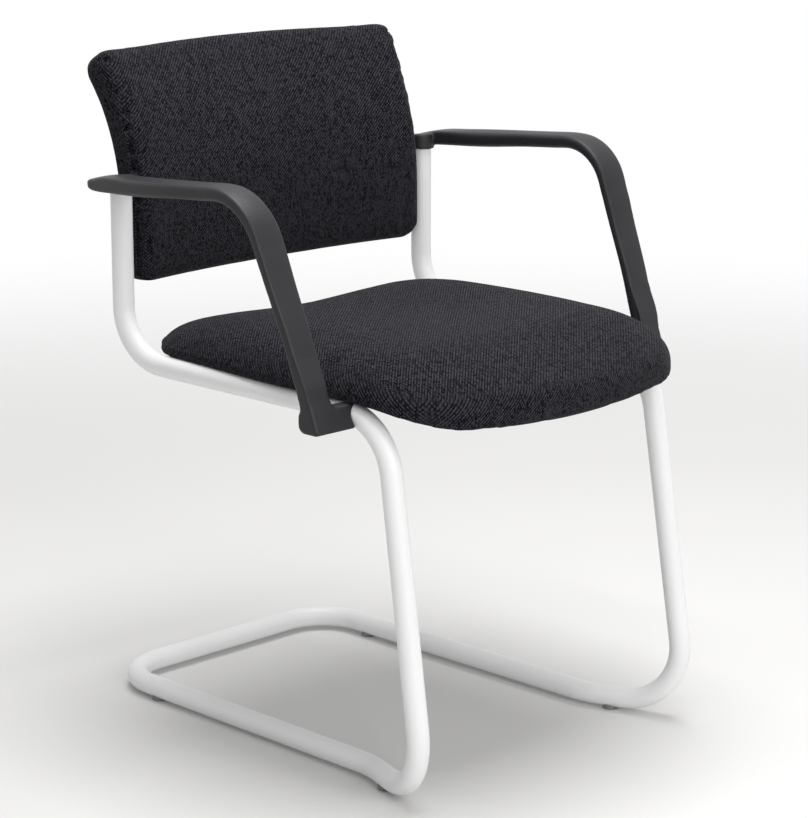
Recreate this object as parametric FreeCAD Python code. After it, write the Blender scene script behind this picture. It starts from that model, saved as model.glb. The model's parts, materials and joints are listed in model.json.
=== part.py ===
import FreeCAD, Part
import math
import os
from FreeCAD import Vector

# Cantilever conference chair. Millimetres, +Z up, front towards -Y, +X to the sitter's left.
# The origin is on the floor, in the middle of the chair's box.
# A reach is a distance forward of the uprights' axes, and a half span is measured from the middle plane.

# Bent frame tube: corner points of its axis, and the radius of each bend
TUBE_DIAMETER = 25.0
TUBE_WALL = 2.5
UPRIGHT_HALF_SPAN = 242.0
UPRIGHT_ABOVE_BACK_BOTTOM = 122.0
RAIL_REAR_HEIGHT = 440.5
RAIL_FALL = 8.9
RAIL_REACH = 402.2
RAIL_TAPER = 27.4
LEG_SPLAY = 6.1
LEG_LEAN = 65.5
TOE_LENGTH = 124.9
TOE_IN = 42.3
RUNNER_TAPER = 2.7
RUNNER_TAIL = 113.7
REAR_BEND_RADIUS = 63.0
FRONT_BEND_RADIUS = 73.0
LEG_FOOT_BEND_RADIUS = 70.0
KINK_BEND_RADIUS = 113.0
CORNER_BEND_RADIUS = 65.0

# Plug-in floor glides
GLIDE_HEIGHT = 3.0
GLIDE_DIAMETER = 18.0
GLIDE_SKIRT = 3.5
GLIDE_STEM_DIAMETER = 8.0
GLIDE_STEM_LENGTH = 9.0
GLIDE_CHAMFER = 0.8
FRONT_GLIDE_SETBACK = 98.0
REAR_GLIDE_SETBACK = 83.7

# Flat braces welded between the seat rails
BRACE_WIDTH = 30.0
BRACE_THICKNESS = 5.0
REAR_BRACE_FROM_BEND = 27.0
FRONT_BRACE_FROM_BEND = 39.0

# Seat pad: a ply shell rolled down at the front, foam and a hemmed cover
SEAT_SIDE_INSET = 5.0
SEAT_REAR_REACH = 15.0
SEAT_OVERHANG = 85.8
SEAT_FRONT_BOW = 30.0
SEAT_STRAIGHT_REACH = 205.0
SEAT_FRONT_TAPER = 22.0
SEAT_REAR_CORNER = 70.0
SEAT_FRONT_CORNER = 92.0
SEAT_REAR_THICKNESS = 20.0
SEAT_CREST_THICKNESS = 34.0
SEAT_ROLL_SETBACK = 42.0
SEAT_ROLL_RADIUS = 285.0
SEAT_TOP_EDGE_RADIUS = 14.0
SEAT_LOWER_EDGE_RADIUS = 5.0
SEAT_SHELL_THICKNESS = 9.0
SEAT_HEM = 30.0
SEAT_HEM_CORNER = 25.0
DUST_COVER_THICKNESS = 1.0
SEAT_SCREW_HALF_SPAN = 120.0
SPACER_DIAMETER = 16.0

# Back pad: a ply shell curved across and bent back at the top, foam on both faces and a slip cover
BACK_ABOVE_RAIL = 86.5
BACK_HEIGHT = 266.0
BACK_STRAIGHT = 73.0
BACK_TOP_CROWN = 18.0
BACK_TOP_CORNER = 18.0
BACK_BOTTOM_CORNER = 20.0
BACK_FLARE_START = 147.0
BACK_FLARE = 5.0
BACK_BEND_RADIUS = 310.0
BACK_TOP_CUT_SHARE = 0.78
BACK_CURVE_RADIUS = 1500.0
BACK_FRONT_FOAM = 22.0
BACK_SHELL_THICKNESS = 8.0
BACK_REAR_FOAM = 8.0
BACK_FRONT_EDGE_RADIUS = 12.0
BACK_REAR_EDGE_RADIUS = 12.0
COVER_THICKNESS = 1.2

# Steel plates welded behind the uprights, which carry the back
PLATE_THICKNESS = 4.0
PLATE_MARGIN = 6.0
PLATE_LENGTH = 62.0
PLATE_WELD_LAP = 6.0
BACK_SCREW_SETBACK = 39.0
BACK_SCREW_MARGIN = 12.0

# Moulded arms: an armrest, a front bend, a strut and a foot in one piece
ARM_REAR_OVERHANG = 22.0
ARM_FRONT_OVERHANG = 39.5
ARM_BEND_OVERHANG = 36.0
ARM_FOOT_OVERHANG = 27.5
ARM_REAR_SETBACK = 2.0
ARM_WIDTH = 39.0
ARM_FOOT_WIDTH = 32.0
ARM_SLOPE = 4.3
ARM_REAR_THICKNESS = 21.0
ARM_BEND_THICKNESS = 17.5
ARM_STRUT_THICKNESS = 11.5
ARM_STRUT_LEAN = 21.5
ARM_BEND_RADIUS = 68.0
ARM_TOP_CORNER = 6.0
ARM_UNDER_CORNER = 7.0
ARM_CROWN_RADIUS = 60.0
STRUT_CORNER = 2.5
STRUT_CROWN_RADIUS = 140.0
SOCKET_ROOF = 7.5
SOCKET_DEPTH = 15.0
HUB_WALL = 3.5
HUB_ROOF = 5.5
HUB_EDGE = 3.0
FOOT_SETBACK = 36.2
FOOT_LENGTH = 26.0
FOOT_TOP_DROP = 1.0
FOOT_LIP = 2.0
FOOT_HEEL_RADIUS = 9.0
FOOT_TOE_RADIUS = 3.0
FOOT_BLEND = 7.0

# Fasteners
SCREW_DIAMETER = 6.0
SCREW_HEAD_DIAMETER = 11.0
SCREW_HEAD_HEIGHT = 3.2
SCREW_HOLE_CLEARANCE = 0.4
NUT_BARREL_DIAMETER = 8.0
NUT_FLANGE_DIAMETER = 18.0
NUT_FLANGE_THICKNESS = 1.5
NUT_BARREL_SETBACK = 1.0
THREAD_CLEARANCE = 0.1
INSERT_DIAMETER = 9.0
INSERT_LENGTH = 14.0
INSERT_DEPTH = 6.0

# Fits between pieces
SEAT_GAP = 0.2
HUB_GAP = 0.3
SOCKET_CLEARANCE = 0.15
STEM_CLEARANCE = 0.1
HEAD_GAP = 0.1
DUST_COVER_GAP = 0.5
PLATE_SLOT_GAP = 0.3

# Ends of the construction curves, beyond the finished pieces
FAR = 1000.0
SEAT_REAR_MARGIN = 30.0
SEAT_ROLL_END = 40.0
BACK_BEND_END = 52.0
BACK_CURVE_END = 11.0

# Places that follow from the driving dimensions
TUBE_RADIUS = TUBE_DIAMETER / 2
RUNNER_HEIGHT = GLIDE_HEIGHT + TUBE_RADIUS
SEAT_TILT = math.degrees(math.atan2(RAIL_FALL, RAIL_REACH))
SEAT_BOTTOM = RAIL_REAR_HEIGHT + TUBE_RADIUS + SEAT_GAP
SEAT_HALF_WIDTH = UPRIGHT_HALF_SPAN - SEAT_SIDE_INSET
SEAT_FRONT_REACH = RAIL_REACH + SEAT_OVERHANG
SEAT_ROLL_START = RAIL_REACH - SEAT_ROLL_SETBACK
BACK_BOTTOM = RAIL_REAR_HEIGHT + BACK_ABOVE_RAIL
BACK_BEND_HEIGHT = BACK_BOTTOM + BACK_STRAIGHT
BACK_TOP = BACK_BOTTOM + BACK_HEIGHT
UPRIGHT_TOP = BACK_BOTTOM + UPRIGHT_ABOVE_BACK_BOTTOM
UPRIGHT_Y = (SEAT_FRONT_REACH - RUNNER_TAIL - TUBE_RADIUS) / 2
HUB_RADIUS = TUBE_RADIUS + SOCKET_CLEARANCE + HUB_WALL
BACK_HALF_WIDTH = UPRIGHT_HALF_SPAN - HUB_RADIUS - HUB_GAP
BACK_SHELL_FRONT = COVER_THICKNESS + BACK_FRONT_FOAM
BACK_SHELL_REAR = BACK_SHELL_FRONT + BACK_SHELL_THICKNESS
BACK_THICKNESS = BACK_SHELL_REAR + BACK_REAR_FOAM + COVER_THICKNESS
REAR_BRACE_REACH = REAR_BEND_RADIUS + REAR_BRACE_FROM_BEND
FRONT_BRACE_REACH = RAIL_REACH - FRONT_BEND_RADIUS - FRONT_BRACE_FROM_BEND
SCREW_HOLE_DIAMETER = SCREW_DIAMETER + 2 * SCREW_HOLE_CLEARANCE

X_AXIS = Vector(1, 0, 0)
Y_AXIS = Vector(0, 1, 0)
Z_AXIS = Vector(0, 0, 1)
LEFT = 1
RIGHT = -1


def at(across, reach, height):
    return Vector(across, UPRIGHT_Y - reach, height)


def mirrored(shape):
    return shape.mirror(Vector(0, 0, 0), X_AXIS)


def with_mirror(shapes):
    """Shapes of the +X side, followed by their mirror images."""
    return shapes + [mirrored(shape) for shape in shapes]


def tilted_with_seat(shape):
    turned = shape.copy()
    turned.rotate(at(0, 0, RAIL_REAR_HEIGHT), X_AXIS, SEAT_TILT)
    return turned


def line(start, end):
    return Part.LineSegment(start, end).toShape()


def arc(start, middle, end):
    return Part.Arc(start, middle, end).toShape()


def closed_wire(edges):
    return Part.Wire(Part.__sortEdges__(edges))


def round_bar(diameter, start, direction, length):
    return Part.makeCylinder(diameter / 2, length, start, direction)


def middle_of(edge):
    return edge.valueAt((edge.FirstParameter + edge.LastParameter) / 2)


def edges_along(shape, axis, length, chosen):
    """Edges that cover at least a length along an axis, at places that pass a test."""
    found = []
    for edge in shape.Edges:
        span = edge.lastVertex().Point - edge.firstVertex().Point
        if abs(span.dot(axis)) > length and chosen(middle_of(edge)):
            found.append(edge)
    return found


def sharp_edges(shape, chosen):
    """Edges where two faces meet at a clear angle, at places that pass a test."""
    found = []
    for edge in shape.Edges:
        middle = middle_of(edge)
        faces = shape.ancestorsOfType(edge, Part.Face)
        if len(faces) != 2 or not chosen(middle):
            continue
        normals = [face.normalAt(*face.Surface.parameter(middle)) for face in faces]
        if normals[0].getAngle(normals[1]) > math.radians(20):
            found.append(edge)
    return found


# Frame tube

def frame_path():
    """Corner points of the tube's axis on the +X half, top of the upright first."""
    rail_front = UPRIGHT_HALF_SPAN - RAIL_TAPER
    leg_foot = rail_front + LEG_SPLAY
    leg_foot_reach = RAIL_REACH + LEG_LEAN
    kink = leg_foot - TOE_IN
    return [
        at(UPRIGHT_HALF_SPAN, 0, UPRIGHT_TOP),
        at(UPRIGHT_HALF_SPAN, 0, RAIL_REAR_HEIGHT),
        at(rail_front, RAIL_REACH, RAIL_REAR_HEIGHT - RAIL_FALL),
        at(leg_foot, leg_foot_reach, RUNNER_HEIGHT),
        at(kink, leg_foot_reach - TOE_LENGTH, RUNNER_HEIGHT),
        at(kink - RUNNER_TAPER, -RUNNER_TAIL, RUNNER_HEIGHT),
    ]


def frame_rod(radius):
    """Solid round bar of the given radius along the whole bent path."""
    half = frame_path()
    points = half + [Vector(-point.x, point.y, point.z) for point in reversed(half)]
    half_bends = [
        REAR_BEND_RADIUS,
        FRONT_BEND_RADIUS,
        LEG_FOOT_BEND_RADIUS,
        KINK_BEND_RADIUS,
        CORNER_BEND_RADIUS,
    ]
    bends = half_bends + half_bends[::-1]
    pieces = []
    start = points[0]
    for before, corner, after, bend in zip(points, points[1:], points[2:], bends):
        travel = (corner - before).normalize()
        leave = (after - corner).normalize()
        turn = travel.getAngle(leave)
        trim = bend * math.tan(turn / 2)
        arc_start = corner - travel * trim
        centre = corner + (leave - travel).normalize() * (bend / math.cos(turn / 2))
        pieces.append(Part.makeCylinder(radius, (arc_start - start).Length, start, travel))
        disc = Part.Face(Part.Wire(Part.makeCircle(radius, arc_start, travel)))
        pieces.append(disc.revolve(centre, travel.cross(leave), math.degrees(turn)))
        start = corner + leave * trim
    last = points[-1] - start
    pieces.append(Part.makeCylinder(radius, last.Length, start, last))
    return pieces[0].multiFuse(pieces[1:])


def rail_axis(reach):
    share = reach / RAIL_REACH
    return at(UPRIGHT_HALF_SPAN - RAIL_TAPER * share, reach, RAIL_REAR_HEIGHT - RAIL_FALL * share)


def glide_spots():
    """Points on the floor under the +X runner."""
    leg_foot, kink, rear = frame_path()[3:]
    front_spot = leg_foot + (kink - leg_foot).normalize() * FRONT_GLIDE_SETBACK
    rear_spot = rear + (kink - rear).normalize() * REAR_GLIDE_SETBACK
    return {"front": front_spot - Z_AXIS * RUNNER_HEIGHT, "rear": rear_spot - Z_AXIS * RUNNER_HEIGHT}


def frame_tube(rod):
    """Tube with holes for the glide stems and the arms' foot screws."""
    tube = rod.cut(frame_rod(TUBE_RADIUS - TUBE_WALL))
    stem_hole = GLIDE_STEM_DIAMETER + 2 * STEM_CLEARANCE
    holes = [round_bar(stem_hole, spot, Z_AXIS, RUNNER_HEIGHT) for spot in glide_spots().values()]
    holes.append(foot_screw_bar(SCREW_HOLE_DIAMETER, -TUBE_DIAMETER, TUBE_DIAMETER))
    return tube.cut(with_mirror(holes))


def glide(spot, rod):
    """Round plastic foot, hollowed to the runner, with a stem that plugs into the tube."""
    foot = round_bar(GLIDE_DIAMETER, spot, Z_AXIS, GLIDE_HEIGHT + GLIDE_SKIRT)
    floor_edge = [edge for edge in foot.Edges if edge.BoundBox.ZMax < GLIDE_HEIGHT / 2]
    foot = foot.makeChamfer(GLIDE_CHAMFER, floor_edge)
    stem = round_bar(GLIDE_STEM_DIAMETER, spot + Z_AXIS * (GLIDE_HEIGHT / 2), Z_AXIS, GLIDE_STEM_LENGTH)
    return foot.cut(rod).fuse(stem)


# Fasteners

def placed(shape, spot, direction):
    shape.Placement = FreeCAD.Placement(spot, FreeCAD.Rotation(Z_AXIS, direction))
    return shape


def screw(seat, direction, length):
    """Pan-head screw whose head rests at the seat, with its shank along the direction."""
    shank = Part.makeCylinder(SCREW_DIAMETER / 2, length)
    head = Part.makeCylinder(SCREW_HEAD_DIAMETER / 2, SCREW_HEAD_HEIGHT, Vector(0, 0, -SCREW_HEAD_HEIGHT))
    rim = [edge for edge in head.Edges if edge.BoundBox.ZMax < -SCREW_HEAD_HEIGHT / 2]
    head = head.makeFillet(SCREW_HEAD_HEIGHT / 2, rim)
    return placed(head.fuse(shank), seat, direction)


def t_nut(seat, direction, barrel):
    """T-nut with its flange at the seat and its barrel behind it, in the shell."""
    flange = Part.makeCylinder(NUT_FLANGE_DIAMETER / 2, NUT_FLANGE_THICKNESS)
    sleeve = Part.makeCylinder(NUT_BARREL_DIAMETER / 2, barrel, Vector(0, 0, -barrel))
    bore = Part.makeCylinder(SCREW_DIAMETER / 2 + THREAD_CLEARANCE, FAR, Vector(0, 0, -FAR / 2))
    return placed(flange.fuse(sleeve).cut(bore), seat, direction)


# Braces and seat fixings, modelled level and then tilted with the rails

def brace(reach, rod):
    """Flat bar between the rails, coped to the tubes and drilled for two seat screws."""
    half = UPRIGHT_HALF_SPAN
    under = RAIL_REAR_HEIGHT - BRACE_THICKNESS / 2
    bar = Part.makeBox(2 * half, BRACE_WIDTH, BRACE_THICKNESS, at(-half, reach + BRACE_WIDTH / 2, under))
    hole = round_bar(SCREW_HOLE_DIAMETER, at(SEAT_SCREW_HALF_SPAN, reach, under), Z_AXIS, BRACE_THICKNESS)
    pieces = tilted_with_seat(bar.cut(with_mirror([hole]))).cut(rod).Solids
    return min(pieces, key=lambda solid: abs(solid.CenterOfMass.x))


def seat_screw_spots():
    """Points on the braces' top faces on the +X side where the seat is screwed down."""
    brace_top = RAIL_REAR_HEIGHT + BRACE_THICKNESS / 2
    return [at(SEAT_SCREW_HALF_SPAN, reach, brace_top) for reach in (REAR_BRACE_REACH, FRONT_BRACE_REACH)]


def seat_fixings():
    """Spacers, screws and T-nuts of the seat on both sides, level with the rails."""
    shell_bottom = SEAT_BOTTOM + COVER_THICKNESS
    barrel = SEAT_SHELL_THICKNESS - NUT_BARREL_SETBACK
    spacers = []
    screws = []
    nuts = []
    for spot in seat_screw_spots():
        rise = shell_bottom - spot.z
        bore = round_bar(SCREW_HOLE_DIAMETER, spot, Z_AXIS, rise)
        spacers.append(round_bar(SPACER_DIAMETER, spot, Z_AXIS, rise).cut(bore))
        grip = BRACE_THICKNESS + rise + SEAT_SHELL_THICKNESS
        screws.append(screw(spot - Z_AXIS * BRACE_THICKNESS, Z_AXIS, grip))
        nuts.append(t_nut(spot + Z_AXIS * (rise + SEAT_SHELL_THICKNESS), Z_AXIS, barrel))
    return with_mirror(spacers), with_mirror(screws), with_mirror(nuts)


# Seat pad, modelled level and then tilted with the rails

def draw_in(run, end_run, end_offset):
    """Sideways offset after a run along an arc that leaves a straight side and ends at a given offset."""
    radius = (end_run ** 2 + end_offset ** 2) / (2 * end_offset)
    return radius - math.sqrt(radius ** 2 - run ** 2)


def seat_plan(inset):
    """Upright prism of the seat's plan: sides that draw in towards a bowed front, and rounded corners."""
    half = SEAT_HALF_WIDTH - inset
    rear = SEAT_REAR_REACH + inset
    nose = SEAT_FRONT_REACH - inset
    base = SEAT_BOTTOM - FAR / 2
    front = nose - SEAT_FRONT_BOW
    front_half = half - SEAT_FRONT_TAPER
    run = front - SEAT_STRAIGHT_REACH
    edges = [
        line(at(half, rear, base), at(-half, rear, base)),
        arc(at(-front_half, front, base), at(0, nose, base), at(front_half, front, base)),
    ]
    for side in (RIGHT, LEFT):
        straight_end = at(side * half, SEAT_STRAIGHT_REACH, base)
        drawn_half = half - draw_in(run / 2, run, SEAT_FRONT_TAPER)
        halfway = at(side * drawn_half, SEAT_STRAIGHT_REACH + run / 2, base)
        edges.append(line(at(side * half, rear, base), straight_end))
        edges.append(arc(straight_end, halfway, at(side * front_half, front, base)))
    prism = Part.Face(closed_wire(edges)).extrude(Z_AXIS * FAR)
    rear_part = at(0, (rear + SEAT_STRAIGHT_REACH) / 2, base).y
    rear_corners = edges_along(prism, Z_AXIS, FAR / 2, lambda point: point.y > rear_part)
    prism = prism.makeFillet(SEAT_REAR_CORNER - inset, rear_corners)
    front_part = at(0, (SEAT_STRAIGHT_REACH + front) / 2, base).y
    front_corners = edges_along(prism, Z_AXIS, FAR / 2, lambda point: point.y < front_part)
    return prism.makeFillet(SEAT_FRONT_CORNER - inset, front_corners)


def seat_roll(offset, angle):
    """Side-view point on the rolled front, at an offset above the pad's underside."""
    radius = SEAT_ROLL_RADIUS + offset
    turn = math.radians(angle)
    reach = SEAT_ROLL_START + radius * math.sin(turn)
    return at(-FAR / 2, reach, SEAT_BOTTOM - SEAT_ROLL_RADIUS + radius * math.cos(turn))


def seat_roll_arc(offset):
    start = seat_roll(offset, 0)
    return arc(start, seat_roll(offset, SEAT_ROLL_END / 2), seat_roll(offset, SEAT_ROLL_END))


def seat_flat_curve(offset):
    """Side-view edges at an offset above the pad's underside: flat, then rolled down at the front."""
    rear = at(-FAR / 2, SEAT_REAR_REACH - SEAT_REAR_MARGIN, SEAT_BOTTOM + offset)
    return [line(rear, seat_roll(offset, 0)), seat_roll_arc(offset)]


def seat_top_curve(inset):
    """Side-view edges of the pad's top, lowered by an inset: a long arch, then the roll."""
    run = SEAT_ROLL_START - SEAT_REAR_REACH
    fall = SEAT_CREST_THICKNESS - SEAT_REAR_THICKNESS
    radius = (run ** 2 + fall ** 2) / (2 * fall)
    centre = SEAT_BOTTOM + SEAT_CREST_THICKNESS - radius

    def arched(reach):
        lift = math.sqrt((radius - inset) ** 2 - (SEAT_ROLL_START - reach) ** 2)
        return at(-FAR / 2, reach, centre + lift)

    crest = SEAT_CREST_THICKNESS - inset
    rear = SEAT_REAR_REACH - SEAT_REAR_MARGIN
    arch = arc(arched(rear), arched((rear + SEAT_ROLL_START) / 2), seat_roll(crest, 0))
    return [arch, seat_roll_arc(crest)]


def seat_slab(lower, upper):
    """Slab across the chair between two curves of the side view."""
    rear = line(lower[0].firstVertex().Point, upper[0].firstVertex().Point)
    front = line(lower[-1].lastVertex().Point, upper[-1].lastVertex().Point)
    return Part.Face(closed_wire(lower + upper + [rear, front])).extrude(X_AXIS * FAR)


def seat_rise(point):
    """Height of a point above the pad's underside."""
    forward = UPRIGHT_Y - point.y - SEAT_ROLL_START
    if forward < 0:
        return point.z - SEAT_BOTTOM
    return math.hypot(forward, point.z - SEAT_BOTTOM + SEAT_ROLL_RADIUS) - SEAT_ROLL_RADIUS


def seat_pad(inset):
    """Closed form of the padded seat, shrunk by an inset on every face."""
    pad = seat_slab(seat_flat_curve(inset), seat_top_curve(inset)).common(seat_plan(inset))
    halfway = SEAT_REAR_THICKNESS / 2
    top_rim = sharp_edges(pad, lambda point: seat_rise(point) > halfway)
    pad = pad.makeFillet(SEAT_TOP_EDGE_RADIUS - inset, top_rim)
    lower_rim = sharp_edges(pad, lambda point: seat_rise(point) < halfway)
    return pad.makeFillet(SEAT_LOWER_EDGE_RADIUS - inset, lower_rim)


def hem_panel(gap, thickness):
    """Flat panel as large as the opening in the hem, less a gap all round, against the shell."""
    half = SEAT_HALF_WIDTH - SEAT_HEM - gap
    rear = SEAT_REAR_REACH + SEAT_HEM + gap
    front = SEAT_ROLL_START - gap
    under = SEAT_BOTTOM + COVER_THICKNESS - thickness
    panel = Part.makeBox(2 * half, front - rear, thickness, at(-half, front, under))
    corners = [edge for edge in panel.Edges if edge.BoundBox.ZLength > thickness / 2]
    return panel.makeFillet(SEAT_HEM_CORNER - gap, corners)


def seat_pieces():
    """All pieces of the seat, level with the rails."""
    spacers, screws, nuts = seat_fixings()
    inner = seat_pad(COVER_THICKNESS)
    shell_zone = seat_slab(seat_flat_curve(0), seat_flat_curve(COVER_THICKNESS + SEAT_SHELL_THICKNESS))
    barrels = [round_bar(NUT_BARREL_DIAMETER, spot, Z_AXIS, FAR / 2) for spot in seat_screw_spots()]
    clear = SPACER_DIAMETER + 2 * DUST_COVER_GAP
    spacer_holes = [round_bar(clear, spot, Z_AXIS, FAR / 2) for spot in seat_screw_spots()]
    dust_cover = hem_panel(DUST_COVER_GAP, DUST_COVER_THICKNESS)
    return {
        "seat_cover": seat_pad(0).cut([inner, hem_panel(0, 2 * COVER_THICKNESS)]),
        "seat_foam": inner.cut([shell_zone] + nuts),
        "seat_shell": inner.common(shell_zone).cut(with_mirror(barrels)),
        "seat_dust_cover": dust_cover.cut(with_mirror(spacer_holes)),
        "seat_spacers": Part.makeCompound(spacers),
        "seat_screws": Part.makeCompound(screws),
        "seat_t_nuts": Part.makeCompound(nuts),
    }


# Back pad. Depths are measured backwards from the pad's front face.

BACK_SCREW_HALF_SPAN = UPRIGHT_HALF_SPAN - BACK_SCREW_SETBACK
SHELL_REAR_RADIUS = BACK_CURVE_RADIUS + BACK_SHELL_REAR
PLATE_ANGLE = math.asin(BACK_SCREW_HALF_SPAN / SHELL_REAR_RADIUS)
PLATE_NORMAL = Vector(math.sin(PLATE_ANGLE), math.cos(PLATE_ANGLE), 0)
PLATE_OUTWARD = Vector(math.cos(PLATE_ANGLE), -math.sin(PLATE_ANGLE), 0)
PLATE_BOTTOM = BACK_BOTTOM + PLATE_MARGIN
PLATE_HEIGHT = BACK_STRAIGHT - 2 * PLATE_MARGIN
# The plates lie on the shell and on the uprights, which fixes the axis of the back's curve
UPRIGHT_SPAN_ON_NORMAL = UPRIGHT_HALF_SPAN * math.sin(PLATE_ANGLE) + TUBE_RADIUS
BACK_AXIS_Y = UPRIGHT_Y - (SHELL_REAR_RADIUS - UPRIGHT_SPAN_ON_NORMAL) / math.cos(PLATE_ANGLE)
BACK_AXIS = Vector(0, BACK_AXIS_Y, 0)
BACK_FRONT_Y = BACK_AXIS_Y + BACK_CURVE_RADIUS


def back_bend(depth, angle):
    """Point of the bent upper part in the middle section."""
    radius = BACK_BEND_RADIUS - depth
    turn = math.radians(angle)
    y = BACK_FRONT_Y + BACK_BEND_RADIUS - radius * math.cos(turn)
    return Vector(0, y, BACK_BEND_HEIGHT + radius * math.sin(turn))


def back_layer(front, rear):
    """Sheet between two depths, curved across and bent back at the top."""
    low = BACK_BOTTOM - BACK_STRAIGHT
    edges = []
    for depth in (front, rear):
        edges.append(line(Vector(0, BACK_FRONT_Y + depth, low), back_bend(depth, 0)))
        bend = [back_bend(depth, BACK_BEND_END * share) for share in (0, 0.5, 1)]
        edges.append(arc(*bend))
    edges.append(line(Vector(0, BACK_FRONT_Y + front, low), Vector(0, BACK_FRONT_Y + rear, low)))
    edges.append(line(back_bend(front, BACK_BEND_END), back_bend(rear, BACK_BEND_END)))
    section = Part.Face(closed_wire(edges))
    section.rotate(BACK_AXIS, Z_AXIS, -BACK_CURVE_END)
    return section.revolve(BACK_AXIS, Z_AXIS, 2 * BACK_CURVE_END)


def back_depth(point):
    """Depth of a point behind the pad's front face."""
    radius = math.hypot(point.x, point.y - BACK_AXIS_Y)
    rise = point.z - BACK_BEND_HEIGHT
    if rise < 0:
        return radius - BACK_CURVE_RADIUS
    return BACK_BEND_RADIUS - math.hypot(BACK_CURVE_RADIUS + BACK_BEND_RADIUS - radius, rise)


def back_outline(inset):
    """Long prism through the back: a level bottom, sides that flare at the top, and a crowned top."""
    half = BACK_HALF_WIDTH - inset
    bottom = BACK_BOTTOM + inset
    start = BACK_FRONT_Y - BACK_HEIGHT
    flare_start = BACK_BOTTOM + BACK_FLARE_START
    run = BACK_HEIGHT - BACK_FLARE_START
    long_run = 2 * BACK_HEIGHT
    drawn = [draw_in(length, run, BACK_FLARE) for length in (long_run / 2, long_run)]
    edges = []
    for side in (RIGHT, LEFT):
        straight_end = Vector(side * half, start, flare_start)
        halfway = straight_end + Vector(side * drawn[0], 0, long_run / 2)
        edges.append(line(Vector(side * half, start, bottom), straight_end))
        edges.append(arc(straight_end, halfway, straight_end + Vector(side * drawn[1], 0, long_run)))
    edges.append(line(edges[0].firstVertex().Point, edges[2].firstVertex().Point))
    edges.append(line(edges[1].lastVertex().Point, edges[3].lastVertex().Point))
    block = Part.Face(closed_wire(edges)).extrude(Y_AXIS * 2 * BACK_HEIGHT)
    top_turn = math.degrees(math.asin((BACK_TOP - BACK_BEND_HEIGHT) / BACK_BEND_RADIUS))
    cut_angle = math.radians(BACK_TOP_CUT_SHARE * top_turn)
    through = Vector(0, math.cos(cut_angle), -math.sin(cut_angle))
    top = back_bend(0, top_turn) - Z_AXIS * (inset / math.cos(cut_angle))
    radius = (BACK_HALF_WIDTH ** 2 + BACK_TOP_CROWN ** 2) / (2 * BACK_TOP_CROWN)
    span = BACK_HALF_WIDTH + 4 * BACK_TOP_CROWN
    fall = radius - math.sqrt(radius ** 2 - span ** 2)
    ends = [top + Vector(side * span, 0, -fall) for side in (RIGHT, LEFT)]
    feet = [end - Z_AXIS * FAR for end in ends]
    face = Part.Face(closed_wire([
        arc(ends[0], top, ends[1]),
        line(ends[1], feet[1]),
        line(feet[1], feet[0]),
        line(feet[0], ends[0]),
    ]))
    face.translate(through * -FAR)
    prism = block.common(face.extrude(through * 2 * FAR))
    halfway = (BACK_BOTTOM + BACK_TOP) / 2
    bottom_corners = edges_along(prism, Y_AXIS, BACK_HEIGHT, lambda point: point.z < halfway)
    prism = prism.makeFillet(BACK_BOTTOM_CORNER - inset, bottom_corners)
    top_corners = edges_along(prism, Y_AXIS, BACK_HEIGHT, lambda point: point.z > halfway)
    return prism.makeFillet(BACK_TOP_CORNER - inset, top_corners)


def back_pad(inset):
    """Closed form of the padded back, shrunk by an inset on every face."""
    pad = back_layer(inset, BACK_THICKNESS - inset).common(back_outline(inset))
    halfway = BACK_THICKNESS / 2
    front_rim = sharp_edges(pad, lambda point: back_depth(point) < halfway)
    pad = pad.makeFillet(BACK_FRONT_EDGE_RADIUS - inset, front_rim)
    rear_rim = sharp_edges(pad, lambda point: back_depth(point) > halfway)
    return pad.makeFillet(BACK_REAR_EDGE_RADIUS - inset, rear_rim)


def plate_block(gap):
    """Plain steel flat of the +X side, grown by a gap."""
    tangent = at(UPRIGHT_HALF_SPAN, 0, PLATE_BOTTOM) + PLATE_NORMAL * TUBE_RADIUS
    inward = PLATE_OUTWARD * (PLATE_WELD_LAP - PLATE_LENGTH - gap)
    corner = tangent + inward - PLATE_NORMAL * gap - Z_AXIS * gap
    block = Part.makeBox(PLATE_LENGTH + 2 * gap, PLATE_THICKNESS + 2 * gap, PLATE_HEIGHT + 2 * gap)
    turn = FreeCAD.Rotation(Z_AXIS, -math.degrees(PLATE_ANGLE))
    block.Placement = FreeCAD.Placement(corner, turn)
    return block


def back_screw_spots():
    """Points on the shell's rear face on the +X side where the plates are screwed."""
    on_shell = BACK_AXIS + PLATE_NORMAL * SHELL_REAR_RADIUS
    heights = (PLATE_BOTTOM + BACK_SCREW_MARGIN, PLATE_BOTTOM + PLATE_HEIGHT - BACK_SCREW_MARGIN)
    return [on_shell + Z_AXIS * height for height in heights]


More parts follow.
